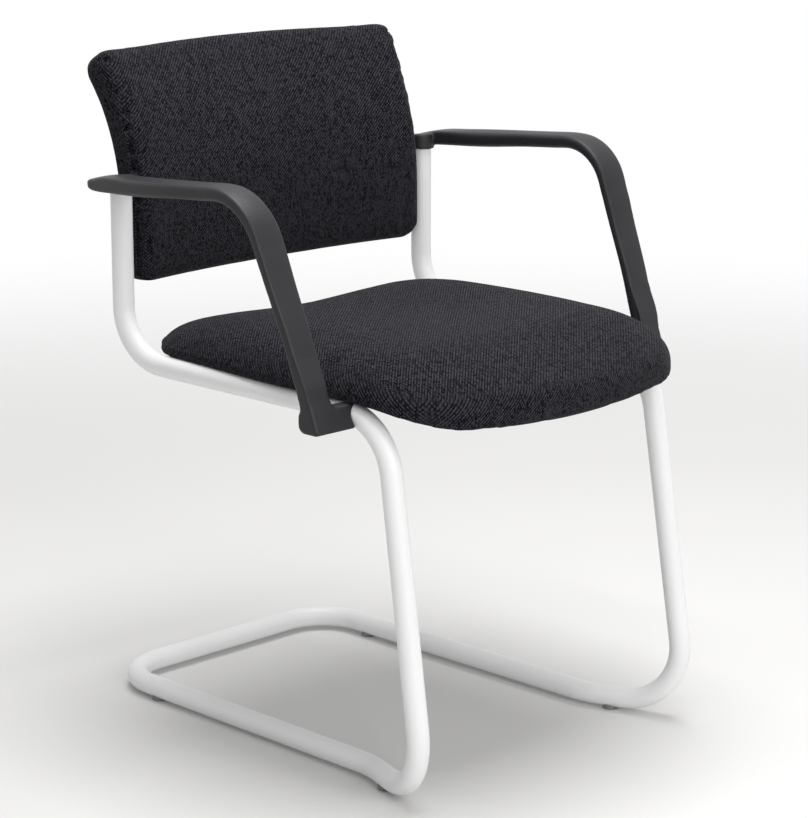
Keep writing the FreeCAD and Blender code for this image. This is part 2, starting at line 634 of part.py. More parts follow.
def back_pieces():
    """All pieces of the back with its two plates."""
    through = BACK_SHELL_THICKNESS + PLATE_THICKNESS
    barrel = BACK_SHELL_THICKNESS - NUT_BARREL_SETBACK
    screws = []
    nuts = []
    screw_holes = []
    head_pockets = []
    barrels = []
    for spot in back_screw_spots():
        plate_face = spot + PLATE_NORMAL * PLATE_THICKNESS
        shell_face = spot - PLATE_NORMAL * (BACK_SHELL_THICKNESS + HEAD_GAP)
        screws.append(screw(plate_face, -PLATE_NORMAL, through))
        nuts.append(t_nut(shell_face, -PLATE_NORMAL, barrel))
        screw_holes.append(round_bar(SCREW_HOLE_DIAMETER, plate_face, -PLATE_NORMAL, through))
        depth = PLATE_THICKNESS + SCREW_HEAD_HEIGHT
        head_pockets.append(round_bar(SCREW_HEAD_DIAMETER, spot, PLATE_NORMAL, depth))
        barrels.append(round_bar(NUT_BARREL_DIAMETER, plate_face, -PLATE_NORMAL, 2 * through))
    plate = plate_block(0).cut(screw_holes)
    screws = with_mirror(screws)
    nuts = with_mirror(nuts)
    inner = back_pad(COVER_THICKNESS)
    front_layer = back_layer(0, BACK_SHELL_FRONT)
    shell_layer = back_layer(BACK_SHELL_FRONT, BACK_SHELL_REAR)
    rear_layer = back_layer(BACK_SHELL_REAR, BACK_THICKNESS)
    slots = with_mirror([plate_block(PLATE_SLOT_GAP)])
    return {
        "back_cover": back_pad(0).cut([inner] + slots),
        "back_foam": inner.common(front_layer).cut(nuts),
        "back_shell": inner.common(shell_layer).cut(with_mirror(barrels)),
        "back_rear_foam": inner.common(rear_layer).cut(slots + with_mirror(head_pockets)),
        "back_plate_left": plate,
        "back_plate_right": mirrored(plate),
        "back_screws": Part.makeCompound(screws),
        "back_t_nuts": Part.makeCompound(nuts),
    }


# Moulded arm of the +X side

RAIL_OUTWARD = Vector(RAIL_REACH, -RAIL_TAPER, 0).normalize()
FOOT_FRONT_REACH = RAIL_REACH - FOOT_SETBACK
FOOT_REAR_REACH = FOOT_FRONT_REACH - FOOT_LENGTH
FOOT_SCREW_SPOT = rail_axis(FOOT_FRONT_REACH - FOOT_LENGTH / 2)
STRUT_FOOT = at(0, FOOT_FRONT_REACH - ARM_STRUT_THICKNESS / 2, FOOT_SCREW_SPOT.z)
ARM_REAR_LEVEL = UPRIGHT_TOP + SOCKET_CLEARANCE + SOCKET_ROOF - ARM_REAR_THICKNESS / 2
FOOT_OUTER = UPRIGHT_HALF_SPAN + ARM_FOOT_OVERHANG + ARM_FOOT_WIDTH / 2
FOOT_TOP = FOOT_SCREW_SPOT.z + TUBE_RADIUS - FOOT_TOP_DROP
FOOT_BOTTOM = FOOT_SCREW_SPOT.z - TUBE_RADIUS - FOOT_LIP


def foot_screw_bar(diameter, start, end):
    """Round bar along the foot screw's axis, between two distances outwards from the rail's axis."""
    return round_bar(diameter, FOOT_SCREW_SPOT + RAIL_OUTWARD * start, RAIL_OUTWARD, end - start)


def arm_half_edges(centre, up, side, width, thickness, corners):
    """Edges of one half of an arm section, from the crown round to the middle of the underside."""
    crown, top_corner, under_corner = corners
    half = width / 2
    low = -thickness / 2
    crown_centre = thickness / 2 - crown
    lean = math.asin((half - top_corner) / (crown - top_corner))
    shoulder = crown_centre + (crown - top_corner) * math.cos(lean)

    def spot(across, lift):
        return centre + X_AXIS * (side * across) + up * lift

    def on_crown(angle):
        return spot(crown * math.sin(angle), crown_centre + crown * math.cos(angle))

    def on_top_corner(angle):
        return spot(half - top_corner + top_corner * math.sin(angle), shoulder + top_corner * math.cos(angle))

    def on_under_corner(angle):
        lift = low + under_corner - under_corner * math.sin(angle)
        return spot(half - under_corner + under_corner * math.cos(angle), lift)

    square = math.pi / 2
    return [
        arc(on_crown(0), on_crown(lean / 2), on_crown(lean)),
        arc(on_crown(lean), on_top_corner((lean + square) / 2), on_top_corner(square)),
        line(on_top_corner(square), on_under_corner(0)),
        arc(on_under_corner(0), on_under_corner(square / 2), on_under_corner(square)),
        line(on_under_corner(square), spot(0, low)),
    ]


def blend(start, end, share):
    return start + (end - start) * share


def arm_stations():
    """Sections along the arm from its rear end: centre, up direction, width, thickness and corner sizes."""
    slope = math.radians(ARM_SLOPE)
    lean = math.radians(ARM_STRUT_LEAN)
    travel = Vector(0, -math.cos(slope), math.sin(slope))
    leave = Vector(0, -math.sin(lean), -math.cos(lean))
    origin = at(0, 0, ARM_REAR_LEVEL)
    rise = ARM_REAR_LEVEL - STRUT_FOOT.z
    strut_run = UPRIGHT_Y - STRUT_FOOT.y - rise * math.tan(lean)
    vertex_reach = strut_run / (1 + math.tan(lean) * math.tan(slope))
    vertex = origin + travel * (vertex_reach / math.cos(slope))
    turn = travel.getAngle(leave)
    trim = ARM_BEND_RADIUS * math.tan(turn / 2)
    rear = origin - travel * ARM_REAR_SETBACK
    bend_start = vertex - travel * trim
    bend_end = vertex + leave * trim
    centre = bend_start - travel.cross(X_AXIS) * ARM_BEND_RADIUS
    rest_corners = Vector(ARM_CROWN_RADIUS, ARM_TOP_CORNER, ARM_UNDER_CORNER)
    strut_corners = Vector(STRUT_CROWN_RADIUS, STRUT_CORNER, STRUT_CORNER)
    stations = []

    def add(middle, heading, overhang, width, thickness, corners):
        spot = Vector(UPRIGHT_HALF_SPAN + overhang, middle.y, middle.z)
        stations.append((spot, heading.cross(X_AXIS), width, thickness, corners))

    for share in (0, 0.3, 0.6, 0.85, 1):
        overhang = ARM_FRONT_OVERHANG - (ARM_FRONT_OVERHANG - ARM_REAR_OVERHANG) * (1 - share) ** 2
        thickness = blend(ARM_REAR_THICKNESS, ARM_BEND_THICKNESS, share)
        add(blend(rear, bend_start, share), travel, overhang, ARM_WIDTH, thickness, rest_corners)
    for share in (0.25, 0.5, 0.75, 1):
        rotation = FreeCAD.Rotation(X_AXIS, math.degrees(turn) * share)
        middle = centre + rotation.multVec(bend_start - centre)
        overhang = blend(ARM_FRONT_OVERHANG, ARM_BEND_OVERHANG, share ** 2)
        thickness = blend(ARM_BEND_THICKNESS, ARM_STRUT_THICKNESS, share)
        corners = blend(rest_corners, strut_corners, share)
        add(middle, rotation.multVec(travel), overhang, ARM_WIDTH, thickness, corners)
    for share in (0.33, 0.67, 1):
        overhang = blend(ARM_BEND_OVERHANG, ARM_FOOT_OVERHANG, share)
        width = blend(ARM_WIDTH, ARM_FOOT_WIDTH, share)
        add(blend(bend_end, STRUT_FOOT, share), leave, overhang, width, ARM_STRUT_THICKNESS, strut_corners)
    return stations


def arm_bar():
    """Armrest, bend and strut as one lofted bar with a half-round rear end."""
    stations = arm_stations()
    wires = []
    for centre, up, width, thickness, corners in stations:
        halves = [arm_half_edges(centre, up, side, width, thickness, corners) for side in (LEFT, RIGHT)]
        wires.append(closed_wire(halves[0] + halves[1][::-1]))
    bar = Part.makeLoft(wires, True, False)
    centre, up, width, thickness, corners = stations[0]
    half = arm_half_edges(centre, up, LEFT, width, thickness, corners)
    axis = line(half[-1].lastVertex().Point, half[0].firstVertex().Point)
    rear_end = Part.Face(closed_wire(half + [axis])).revolve(centre, up, 180)
    return bar.fuse(rear_end)


def arm_hub():
    """Round collar over the upright's top end."""
    foot = at(UPRIGHT_HALF_SPAN, 0, UPRIGHT_TOP - SOCKET_DEPTH)
    hub = Part.makeCylinder(HUB_RADIUS, SOCKET_DEPTH + HUB_ROOF, foot)
    rim = [edge for edge in hub.Edges if edge.BoundBox.ZMin > UPRIGHT_TOP]
    return hub.makeFillet(HUB_EDGE, rim)


def arm_foot():
    """Block from the strut's lower end to the rail's outer side, with a rounded heel."""
    slant = math.tan(math.radians(ARM_STRUT_LEAN))
    inner = FOOT_SCREW_SPOT.x
    toe = FOOT_FRONT_REACH + (STRUT_FOOT.z - FOOT_BOTTOM) * slant
    instep = FOOT_FRONT_REACH - (FOOT_TOP - STRUT_FOOT.z) * slant
    corners = [
        at(inner, FOOT_REAR_REACH, FOOT_TOP),
        at(inner, FOOT_REAR_REACH, FOOT_BOTTOM),
        at(inner, toe, FOOT_BOTTOM),
        at(inner, instep, FOOT_TOP),
    ]
    length = FOOT_OUTER - inner
    block = Part.Face(Part.makePolygon(corners + corners[:1])).extrude(X_AXIS * length)
    halfway = corners[0].y - FOOT_LENGTH / 2
    heel = edges_along(block, X_AXIS, length / 2, lambda point: point.y > halfway)
    block = block.makeFillet(FOOT_HEEL_RADIUS, heel)
    toes = edges_along(block, X_AXIS, length / 2, lambda point: point.y < halfway)
    return block.makeFillet(FOOT_TOE_RADIUS, toes)


def foot_blend():
    """Hollow fillet in the corner between the strut's inner side and the foot's top."""
    lean = math.radians(ARM_STRUT_LEAN)
    up = Vector(0, math.sin(lean), math.cos(lean))
    front = Vector(0, -math.cos(lean), math.sin(lean))
    depth = ARM_STRUT_THICKNESS - 2 * STRUT_CORNER
    rise = FOOT_TOP - STRUT_FOOT.z
    root = Vector(FOOT_OUTER - ARM_FOOT_WIDTH, STRUT_FOOT.y, STRUT_FOOT.z) + up * (rise / math.cos(lean))
    root -= front * (depth / 2)
    inside = root + X_AXIS * STRUT_CORNER
    top = root + up * FOOT_BLEND
    tip = root - X_AXIS * FOOT_BLEND
    swing = FOOT_BLEND * (1 - math.sqrt(0.5))
    sunk = up * -FOOT_BLEND
    outline = closed_wire([
        arc(top, root - X_AXIS * swing + up * swing, tip),
        line(tip, tip + sunk),
        line(tip + sunk, inside + sunk),
        line(inside + sunk, inside + up * FOOT_BLEND),
        line(inside + up * FOOT_BLEND, top),
    ])
    return Part.Face(outline).extrude(front * depth)


def arm_pieces():
    """Arm, foot screw and foot insert of the +X side."""
    body = arm_bar().multiFuse([arm_hub(), arm_foot(), foot_blend()])
    socket_radius = TUBE_RADIUS + SOCKET_CLEARANCE
    roof = Part.makeCylinder(socket_radius, SOCKET_CLEARANCE, at(UPRIGHT_HALF_SPAN, 0, UPRIGHT_TOP))
    insert_start = TUBE_RADIUS + INSERT_DEPTH
    insert_end = insert_start + INSERT_LENGTH
    pocket = foot_screw_bar(INSERT_DIAMETER, insert_start, insert_end)
    shank_hole = foot_screw_bar(SCREW_HOLE_DIAMETER, 0, insert_end)
    body = body.cut([frame_rod(socket_radius), roof, pocket, shank_hole])
    insert = pocket.cut(foot_screw_bar(SCREW_DIAMETER + 2 * THREAD_CLEARANCE, insert_start, insert_end))
    seat = -TUBE_RADIUS - HEAD_GAP
    foot_screw = screw(FOOT_SCREW_SPOT + RAIL_OUTWARD * seat, RAIL_OUTWARD, insert_end - seat)
    return max(body.Solids, key=lambda solid: solid.Volume), foot_screw, insert


def chair():
    """Every piece of the chair by name."""
    rod = frame_rod(TUBE_RADIUS)
    arm, foot_screw, insert = arm_pieces()
    pieces = {
        "frame_tube": frame_tube(rod),
        "front_brace": brace(FRONT_BRACE_REACH, rod),
        "rear_brace": brace(REAR_BRACE_REACH, rod),
        "arm_left": arm,
        "arm_right": mirrored(arm),
        "arm_foot_screws": Part.makeCompound(with_mirror([foot_screw])),
        "arm_foot_inserts": Part.makeCompound(with_mirror([insert])),
    }
    for place, spot in glide_spots().items():
        foot = glide(spot, rod)
        pieces[f"glide_{place}_left"] = foot
        pieces[f"glide_{place}_right"] = mirrored(foot)
    for name, shape in seat_pieces().items():
        pieces[name] = tilted_with_seat(shape)
    pieces.update(back_pieces())
    return pieces


os.makedirs("parts", exist_ok=True)
for name, shape in chair().items():
    shape.exportStep(f"parts/{name}.step")
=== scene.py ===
import json
import math

import bmesh
import bpy
import numpy as np
from bpy.props import FloatProperty, FloatVectorProperty, PointerProperty
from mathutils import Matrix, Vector
from mathutils.bvhtree import BVHTree


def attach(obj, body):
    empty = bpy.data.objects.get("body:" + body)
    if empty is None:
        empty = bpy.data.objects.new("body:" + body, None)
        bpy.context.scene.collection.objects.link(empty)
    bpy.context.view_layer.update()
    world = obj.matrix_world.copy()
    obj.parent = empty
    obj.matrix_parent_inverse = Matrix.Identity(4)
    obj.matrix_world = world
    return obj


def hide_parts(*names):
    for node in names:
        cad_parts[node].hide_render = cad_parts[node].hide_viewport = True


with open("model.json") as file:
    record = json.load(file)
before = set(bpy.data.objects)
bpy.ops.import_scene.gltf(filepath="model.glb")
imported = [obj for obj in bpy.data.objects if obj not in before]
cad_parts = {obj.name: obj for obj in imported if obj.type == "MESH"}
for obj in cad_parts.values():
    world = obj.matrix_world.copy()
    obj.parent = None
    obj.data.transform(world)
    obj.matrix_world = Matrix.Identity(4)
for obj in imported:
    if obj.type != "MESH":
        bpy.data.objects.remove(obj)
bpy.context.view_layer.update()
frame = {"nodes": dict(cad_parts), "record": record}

bl_info = {
    "name": "Cantilever conference chair",
    "version": (1, 0, 0),
    "blender": (4, 5, 0),
    "location": "View3D > Sidebar > Chair",
    "description": "Dresses the solids of a cantilever chair: tube, arms, cloth, fixings and stage",
    "category": "Object",
}

# Axis of the frame tube on the sitter's left: corner points in metres, and the bend at each corner
UPRIGHT_Y = 0.1809
TUBE_CORNERS = (
    ((0.2420, UPRIGHT_Y, 0.6490), 0.0),
    ((0.2420, UPRIGHT_Y, 0.4405), 0.063),
    ((0.2146, UPRIGHT_Y - 0.4022, 0.4316), 0.073),
    ((0.2207, UPRIGHT_Y - 0.4677, 0.0155), 0.070),
    ((0.1784, UPRIGHT_Y - 0.3428, 0.0155), 0.113),
    ((0.1757, UPRIGHT_Y + 0.1137, 0.0155), 0.065),
)
TUBE_SIDES = 48
BEND_STEPS = 20

# Camera that took the photograph
PHOTO_HEIGHT_PX = 818
PHOTO_FOCAL_PX = 2788.09
CAMERA_PLACE = (-2.2273, -2.2756, 1.1371)
CAMERA_AZIMUTH = -44.794
CAMERA_PITCH = 13.566
SENSOR = 36.0

# Distances within which the loose triangles of a solid's copy are merged
SEAM = 1e-5
SCREW_SEAM = 1e-6

# Softening of the pads: a skin is loose from the first to the second distance from its shell
COVER_THICKNESS = 0.0012
PAD_VOXEL = 0.005
LOOSE_FROM_SHELL = (0.002, 0.012)
CLOTH_FRAMES = 20
SEAT_ROUNDS = 8
SEAT_GROWTH = 0.0015
BACK_ROUNDS = 2
BACK_GROWTH = 0.0032

# Where a pad may swell, by how far its cloth faces up on the seat and sideways on the back
SEAT_FREE_FACING = (-0.5, 0.3)
BACK_HELD_FACING = (0.5, 0.9)
BACK_HELD_SHARE = 0.7

# Form of the seat: how its foam rises from the edges, and the hollow's half width and front rim
SEAT_SLICE = 0.008
SIDE_ROUNDNESS = 6
REAR_RISE = 0.12
FRONT_RISE = 0.12
HOLLOW_HALF_WIDTH = 0.2
HOLLOW_FRONT = (-0.19, -0.02)
BOARD_INSET = 0.0025

# Top corners of the back
CORNER_REACH = 0.07
CORNER_PUSH = 0.0035

# Easing of the moulded arms
ARM_VOXEL = 0.0013
ARM_SMOOTHING = 4
FOOT_SMOOTHING = 16

# Strut of an arm: its run in height, how far back it reaches, and the degrees of the curves along it
STRUT_HIGH = 0.620
STRUT_BLEND = 0.02
STRUT_SLICE = 0.004
STRUT_BEHIND = -0.06
FOOT_TOP = 0.450
OLD_LIMIT_DEGREE = 5
SIDE_DEGREES = (1, 1)
FACE_DEGREES = (1, 2)

# Toe of an arm, which fills the corner of strut and foot: inner, outer, front, rear and height of its ends
TOE_ENDS = (
    (0.2525, 0.2845, -0.1861, -0.1650, 0.430),
    (0.2560, 0.2893, -0.1583, -0.1500, 0.502),
)

# Nose of an armrest, behind the upright
NOSE_START = 0.160
NOSE_MIDDLE = 0.6445
NOSE_TAPER = 0.42

# Outer end of the plates behind the uprights
PLATE_END = 0.2385

# Hem under the seat: depth of the cut, how far the cloth clears the dust sheet, and its staples
HEM_DEPTH = 0.005
HEM_OVERLAP = 0.0005
HEM_CORNER = 0.025
SHELL_OVERLAP = 0.0004
DUST_SHEET = 0.001
STAPLE_MARGIN = 0.007
STAPLE_SETBACK = 0.0009
STAPLE_CROWN = 0.010
STAPLE_WIRE = 0.0011

# Socket screws, and the sides of their round and hexagonal forms
HEAD_DIAMETER = 0.011
HEAD_HEIGHT = 0.0032
SOCKET_WIDTH = 0.0046
SOCKET_MIDDLE = 0.4
SHANK_DIAMETER = 0.006
HEAD_SIDES = 32
SHANK_SIDES = 24
SOCKET_SIDES = 6

# Charcoal weave: the thread in metres, and the rest counted in threads or as shares
THREAD = 0.0014
RIBS_PER_THREAD = 0.5
STITCHES_PER_THREAD = 0.7
STITCH_SHIFT = 0.37
YARN_STEP = 7.31
WARP_SLUB = 0.07
WEFT_SLUB = 0.2
WEFT_LAYER = 5.0
WEFT_SHARE = 0.3
SPECK_LIFT = (0.8, -0.1)
FLECK_BAND = (0.28, 1.0)
# Painted shade in the weave's grooves: share of the colour kept between threads and between ribs, and what
# their tops add
THREAD_PAINTED_SHADE = (0.4, 0.6)
RIB_PAINTED_SHADE = (0.5, 0.65)
MAP_SHARPNESS = 6.0

# Slow change of tone on plain finishes, and what it does to their gloss
TONE_SCALE = 9.0
TONE_BAND = (0.3, 0.7)
GLOSS_CHANGE = 0.9
GRAIN_STRENGTH = 0.5

# Floor and light of the stage
FLOOR_REACH = 12.0
FLOOR_FADE = (0.7, 3.2)
FLOOR_CLOUD_SCALE = 1.5
FLOOR_CLOUD_TONE = 0.97
WORLD_LIGHT = 0.4
LAMP_TARGET_HEIGHT = 0.45
CAMERA_REACH = 50.0

# Filled when the materials are made
GROUPS = {}
MATERIALS = {}


# Node helpers

def node_tree_node(tree, kind, **settings):
    node = tree.nodes.new(kind)
    for name, value in settings.items():
        setattr(node, name, value)
    return node


def feed(tree, socket, value):
    """Link a socket to another, or set it to a plain value."""
    if isinstance(value, bpy.types.NodeSocket):
        tree.links.new(value, socket)
    else:
        socket.default_value = value


def link_all(tree, *pairs):
    """Link outputs to inputs, given in pairs."""
    for source, target in pairs:
        tree.links.new(source, target)


def calculate(tree, operation, *values):
    node = node_tree_node(tree, "ShaderNodeMath", operation=operation)
    for socket, value in zip(node.inputs, values):
        feed(tree, socket, value)
    return node.outputs[0]


def mix_values(tree, share, first, second):
    node = node_tree_node(tree, "ShaderNodeMix", data_type="FLOAT")
    feed(tree, node.inputs[0], share)
    feed(tree, node.inputs[2], first)
    feed(tree, node.inputs[3], second)
    return node.outputs[0]


def mix_colours(tree, share, first, second):
    node = node_tree_node(tree, "ShaderNodeMix", data_type="RGBA")
    feed(tree, node.inputs[0], share)
    feed(tree, node.inputs[6], first)
    feed(tree, node.inputs[7], second)
    return node.outputs[2]


def noise(tree, vector, scale, detail=2.0):
    node = node_tree_node(tree, "ShaderNodeTexNoise")
    feed(tree, node.inputs["Vector"], vector)
    feed(tree, node.inputs["Scale"], scale)
    node.inputs["Detail"].default_value = detail
    return node.outputs["Fac"]


def combine(tree, x, y, z):
    node = node_tree_node(tree, "ShaderNodeCombineXYZ")
    for socket, value in zip(node.inputs, (x, y, z)):
        feed(tree, socket, value)
    return node.outputs[0]


def spread(tree, value, low, high):
    """Stretch a narrow band of a value to the full range from 0 to 1."""
    node = node_tree_node(tree, "ShaderNodeMapRange", interpolation_type="SMOOTHSTEP")
    feed(tree, node.inputs["Value"], value)
    node.inputs["From Min"].default_value = low
    node.inputs["From Max"].default_value = high
    return node.outputs["Result"]


def shader_group(name, inputs, outputs):
    """Empty shader group with named sockets: its tree, its input node and its output node."""
    tree = bpy.data.node_groups.new(name, "ShaderNodeTree")
    for label, kind, default in inputs:
        socket = tree.interface.new_socket(label, in_out="INPUT", socket_type=kind)
        if default is not None:
            socket.default_value = default
    for label, kind in outputs:
        tree.interface.new_socket(label, in_out="OUTPUT", socket_type=kind)
    return tree, tree.nodes.new("NodeGroupInput"), tree.nodes.new("NodeGroupOutput")


def place_group(tree, group, **values):
    node = node_tree_node(tree, "ShaderNodeGroup", node_tree=group)
    for label, value in values.items():
        feed(tree, node.inputs[label.replace("_", " ")], value)
    return node


# Surface effects shared by several materials

def melange_weave_group():
    """Ribbed weave of mottled yarn: colour, with painted shade in the grooves between threads and ribs, and
    height from a flat map in metres.
    """
    tree, given, result = shader_group(
        "Melange Weave",
        [("Vector", "NodeSocketVector", None), ("Thread", "NodeSocketFloat", THREAD),
         ("Dark", "NodeSocketColor", None), ("Light", "NodeSocketColor", None)],
        [("Color", "NodeSocketColor"), ("Height", "NodeSocketFloat")],
    )
    split = node_tree_node(tree, "ShaderNodeSeparateXYZ")
    tree.links.new(given.outputs["Vector"], split.inputs[0])
    across = calculate(tree, "DIVIDE", split.outputs[0], given.outputs["Thread"])
    along = calculate(tree, "DIVIDE", split.outputs[1], given.outputs["Thread"])
    column = calculate(tree, "FLOOR", across)
    row = calculate(tree, "FLOOR", along)
    warp_height = rounded_threads(tree, across)
    weft_height = rounded_threads(tree, along)
    warp_on_top = calculate(tree, "FLOORED_MODULO", calculate(tree, "ADD", column, row), 2.0)
    warp_place = combine(tree, calculate(tree, "MULTIPLY", column, YARN_STEP),
                         calculate(tree, "MULTIPLY", along, WARP_SLUB), 0.0)
    weft_place = combine(tree, calculate(tree, "MULTIPLY", across, WEFT_SLUB),
                         calculate(tree, "MULTIPLY", row, YARN_STEP), WEFT_LAYER)
    yarn = mix_values(tree, WEFT_SHARE, noise(tree, warp_place, 1.0), noise(tree, weft_place, 1.0))
    shift = calculate(tree, "MULTIPLY", column, STITCH_SHIFT)
    stitch = calculate(tree, "FLOOR", calculate(tree, "MULTIPLY_ADD", along, STITCHES_PER_THREAD, shift))
    speck = node_tree_node(tree, "ShaderNodeTexWhiteNoise", noise_dimensions="2D")
    tree.links.new(combine(tree, column, stitch, 0.0), speck.inputs["Vector"])
    turn = calculate(tree, "FLOORED_MODULO", calculate(tree, "ADD", column, stitch), 2.0)
    lift = calculate(tree, "MULTIPLY_ADD", speck.outputs["Value"], *SPECK_LIFT)
    sunk = calculate(tree, "SUBTRACT", yarn, lift)
    raised = calculate(tree, "ADD", yarn, lift)
    fleck = spread(tree, mix_values(tree, turn, sunk, raised), *FLECK_BAND)
    height = mix_values(tree, warp_on_top, weft_height, warp_height)
    rib = rounded_threads(tree, calculate(tree, "MULTIPLY", across, RIBS_PER_THREAD))
    # Painted shade: the yarn's colour darkens in the grooves between threads and between ribs
    painted_groove_shade = calculate(tree, "MULTIPLY", calculate(tree, "MULTIPLY_ADD", height, *THREAD_PAINTED_SHADE),
                       calculate(tree, "MULTIPLY_ADD", rib, *RIB_PAINTED_SHADE))
    shaded = calculate(tree, "MULTIPLY", fleck, painted_groove_shade)
    colour = mix_colours(tree, shaded, given.outputs["Dark"], given.outputs["Light"])
    tree.links.new(colour, result.inputs["Color"])
    tree.links.new(height, result.inputs["Height"])
    return tree


def rounded_threads(tree, place):
    """Row of round humps, one for each thread."""
    return calculate(tree, "ABSOLUTE", calculate(tree, "SINE", calculate(tree, "MULTIPLY", place, math.pi)))


def fine_grain_group():
    """Fine skin of a moulded or powder-coated surface: height, and a slow change of tone."""
    tree, given, result = shader_group(
        "Fine Grain",
        [("Vector", "NodeSocketVector", None), ("Grain", "NodeSocketFloat", None)],
        [("Height", "NodeSocketFloat"), ("Tone", "NodeSocketFloat")],
    )
    scale = calculate(tree, "DIVIDE", 1.0, given.outputs["Grain"])
    tree.links.new(noise(tree, given.outputs["Vector"], scale, detail=3.0), result.inputs["Height"])
    tone = spread(tree, noise(tree, given.outputs["Vector"], TONE_SCALE, detail=4.0), *TONE_BAND)
    tree.links.new(tone, result.inputs["Tone"])
    return tree


# Materials

def new_material(name):
    """Material with a bare Principled shader: the material, its tree and the shader."""
    material = bpy.data.materials.new(name)
    material.use_nodes = True
    tree = material.node_tree
    return material, tree, tree.nodes["Principled BSDF"]


def bump(tree, shader, height, distance, strength):
    node = node_tree_node(tree, "ShaderNodeBump")
    node.inputs["Distance"].default_value = distance
    node.inputs["Strength"].default_value = strength
    feed(tree, node.inputs["Height"], height)
    tree.links.new(node.outputs[0], shader.inputs["Normal"])


def object_place(tree):
    return node_tree_node(tree, "ShaderNodeTexCoord").outputs["Object"]


def grained_material(name, colour, grain, roughness, tone_share, metallic=0.0, specular=0.5):
    """Plain finish with a fine grain, given by its size and depth, and a faint change of tone."""
    material, tree, shader = new_material(name)
    skin = place_group(tree, GROUPS["grain"], Vector=object_place(tree), Grain=grain[0])
    darker = [channel * (1 - tone_share) for channel in colour] + [1.0]
    tinted = mix_colours(tree, skin.outputs["Tone"], darker, list(colour) + [1.0])
    tree.links.new(tinted, shader.inputs["Base Color"])
    glossier = GLOSS_CHANGE * roughness
    feed(tree, shader.inputs["Roughness"], mix_values(tree, skin.outputs["Tone"], roughness, glossier))
    shader.inputs["Metallic"].default_value = metallic
    shader.inputs["Specular IOR Level"].default_value = specular
    bump(tree, shader, skin.outputs["Height"], grain[1], GRAIN_STRENGTH)
    return material


def facing_share(tree, wanted, other):
    """Share of a map that grows as a surface faces it more than it faces another one."""
    first = calculate(tree, "POWER", wanted, MAP_SHARPNESS)
    second = calculate(tree, "POWER", other, MAP_SHARPNESS)
    return calculate(tree, "DIVIDE", first, calculate(tree, "ADD", first, second))


def cloth_material(name, dark, light):
    """Charcoal weave, laid on from the front, the side and above by the way that the cloth faces."""
    material, tree, shader = new_material(name)
    source = node_tree_node(tree, "ShaderNodeTexCoord")
    place = node_tree_node(tree, "ShaderNodeSeparateXYZ")
    facing = node_tree_node(tree, "ShaderNodeSeparateXYZ")
    tree.links.new(source.outputs["Object"], place.inputs[0])
    tree.links.new(source.outputs["Normal"], facing.inputs[0])
    x, y, z = place.outputs
    weaves = []
    for across, along in ((x, z), (y, z), (x, y)):
        weaves.append(place_group(tree, GROUPS["weave"], Vector=combine(tree, across, along, 0.0),
                                  Thread=THREAD, Dark=list(dark) + [1.0], Light=list(light) + [1.0]))
    sideways, forward, upward = [calculate(tree, "ABSOLUTE", part) for part in facing.outputs]
    side_share = facing_share(tree, sideways, forward)
    top_share = facing_share(tree, upward, calculate(tree, "MAXIMUM", sideways, forward))
    front, side, top = [weave.outputs["Color"] for weave in weaves]
    upright = mix_colours(tree, side_share, front, side)
    tree.links.new(mix_colours(tree, top_share, upright, top), shader.inputs["Base Color"])
    shader.inputs["Roughness"].default_value = 0.85
    shader.inputs["Specular IOR Level"].default_value = 0.05
    shader.inputs["Sheen Weight"].default_value = 0.05
    shader.inputs["Sheen Roughness"].default_value = 0.35
    front, side, top = [weave.outputs["Height"] for weave in weaves]
    upright = mix_values(tree, side_share, front, side)
    bump(tree, shader, mix_values(tree, top_share, upright, top), distance=0.0005, strength=0.6)
    return material


def plywood_material(name):
    """Beech veneer with long grain across the chair."""
    material, tree, shader = new_material(name)
    stretch = node_tree_node(tree, "ShaderNodeMapping")
    stretch.inputs["Scale"].default_value = (6.0, 120.0, 400.0)
    tree.links.new(object_place(tree), stretch.inputs["Vector"])
    grain = noise(tree, stretch.outputs[0], 1.0, detail=4.0)
    early_wood = (0.62, 0.43, 0.26, 1.0)
    late_wood = (0.45, 0.28, 0.15, 1.0)
    colour = mix_colours(tree, spread(tree, grain, 0.35, 0.7), early_wood, late_wood)
    tree.links.new(colour, shader.inputs["Base Color"])
    shader.inputs["Roughness"].default_value = 0.55
    bump(tree, shader, grain, distance=0.0002, strength=0.4)
    return material


def make_materials(colours):
    GROUPS["weave"] = melange_weave_group()
    GROUPS["grain"] = fine_grain_group()
    MATERIALS["frame_paint"] = grained_material(
        "silver_grey_powder_coat", colours.paint,
        grain=(0.0009, 0.00012), roughness=0.42, tone_share=0.03)
    MATERIALS["arm_plastic"] = grained_material(
        "dark_grey_moulded_plastic", colours.arms,
        grain=(0.0013, 0.0003), roughness=0.5, tone_share=0.12, specular=0.3)
    MATERIALS["glide_plastic"] = grained_material(
        "grey_glide_plastic", colours.glides,
        grain=(0.0008, 0.0001), roughness=0.45, tone_share=0.12)
    MATERIALS["spacer_plastic"] = grained_material(
        "black_spacer_plastic", (0.03, 0.03, 0.03),
        grain=(0.0008, 0.0001), roughness=0.5, tone_share=0.12)
    MATERIALS["dust_sheet"] = grained_material(
        "black_nonwoven_sheet", (0.02, 0.02, 0.021),
        grain=(0.0025, 0.0004), roughness=0.95, tone_share=0.4, specular=0.2)
    MATERIALS["zinc_steel"] = grained_material(
        "zinc_plated_steel", (0.62, 0.62, 0.64),
        grain=(0.0007, 0.00005), roughness=0.34, tone_share=0.15, metallic=1.0)
    MATERIALS["insert_brass"] = grained_material(
        "turned_brass", (0.78, 0.57, 0.25),
        grain=(0.0007, 0.00005), roughness=0.3, tone_share=0.15, metallic=1.0)
    MATERIALS["plywood"] = plywood_material("beech_plywood")
    MATERIALS["charcoal_weave"] = cloth_material(
        "charcoal_melange_weave", colours.cloth_dark, colours.cloth_light)


def dress(mesh, slot):
    """Give a mesh the material of a slot and no other."""
    mesh.materials.clear()
    mesh.materials.append(MATERIALS[slot])


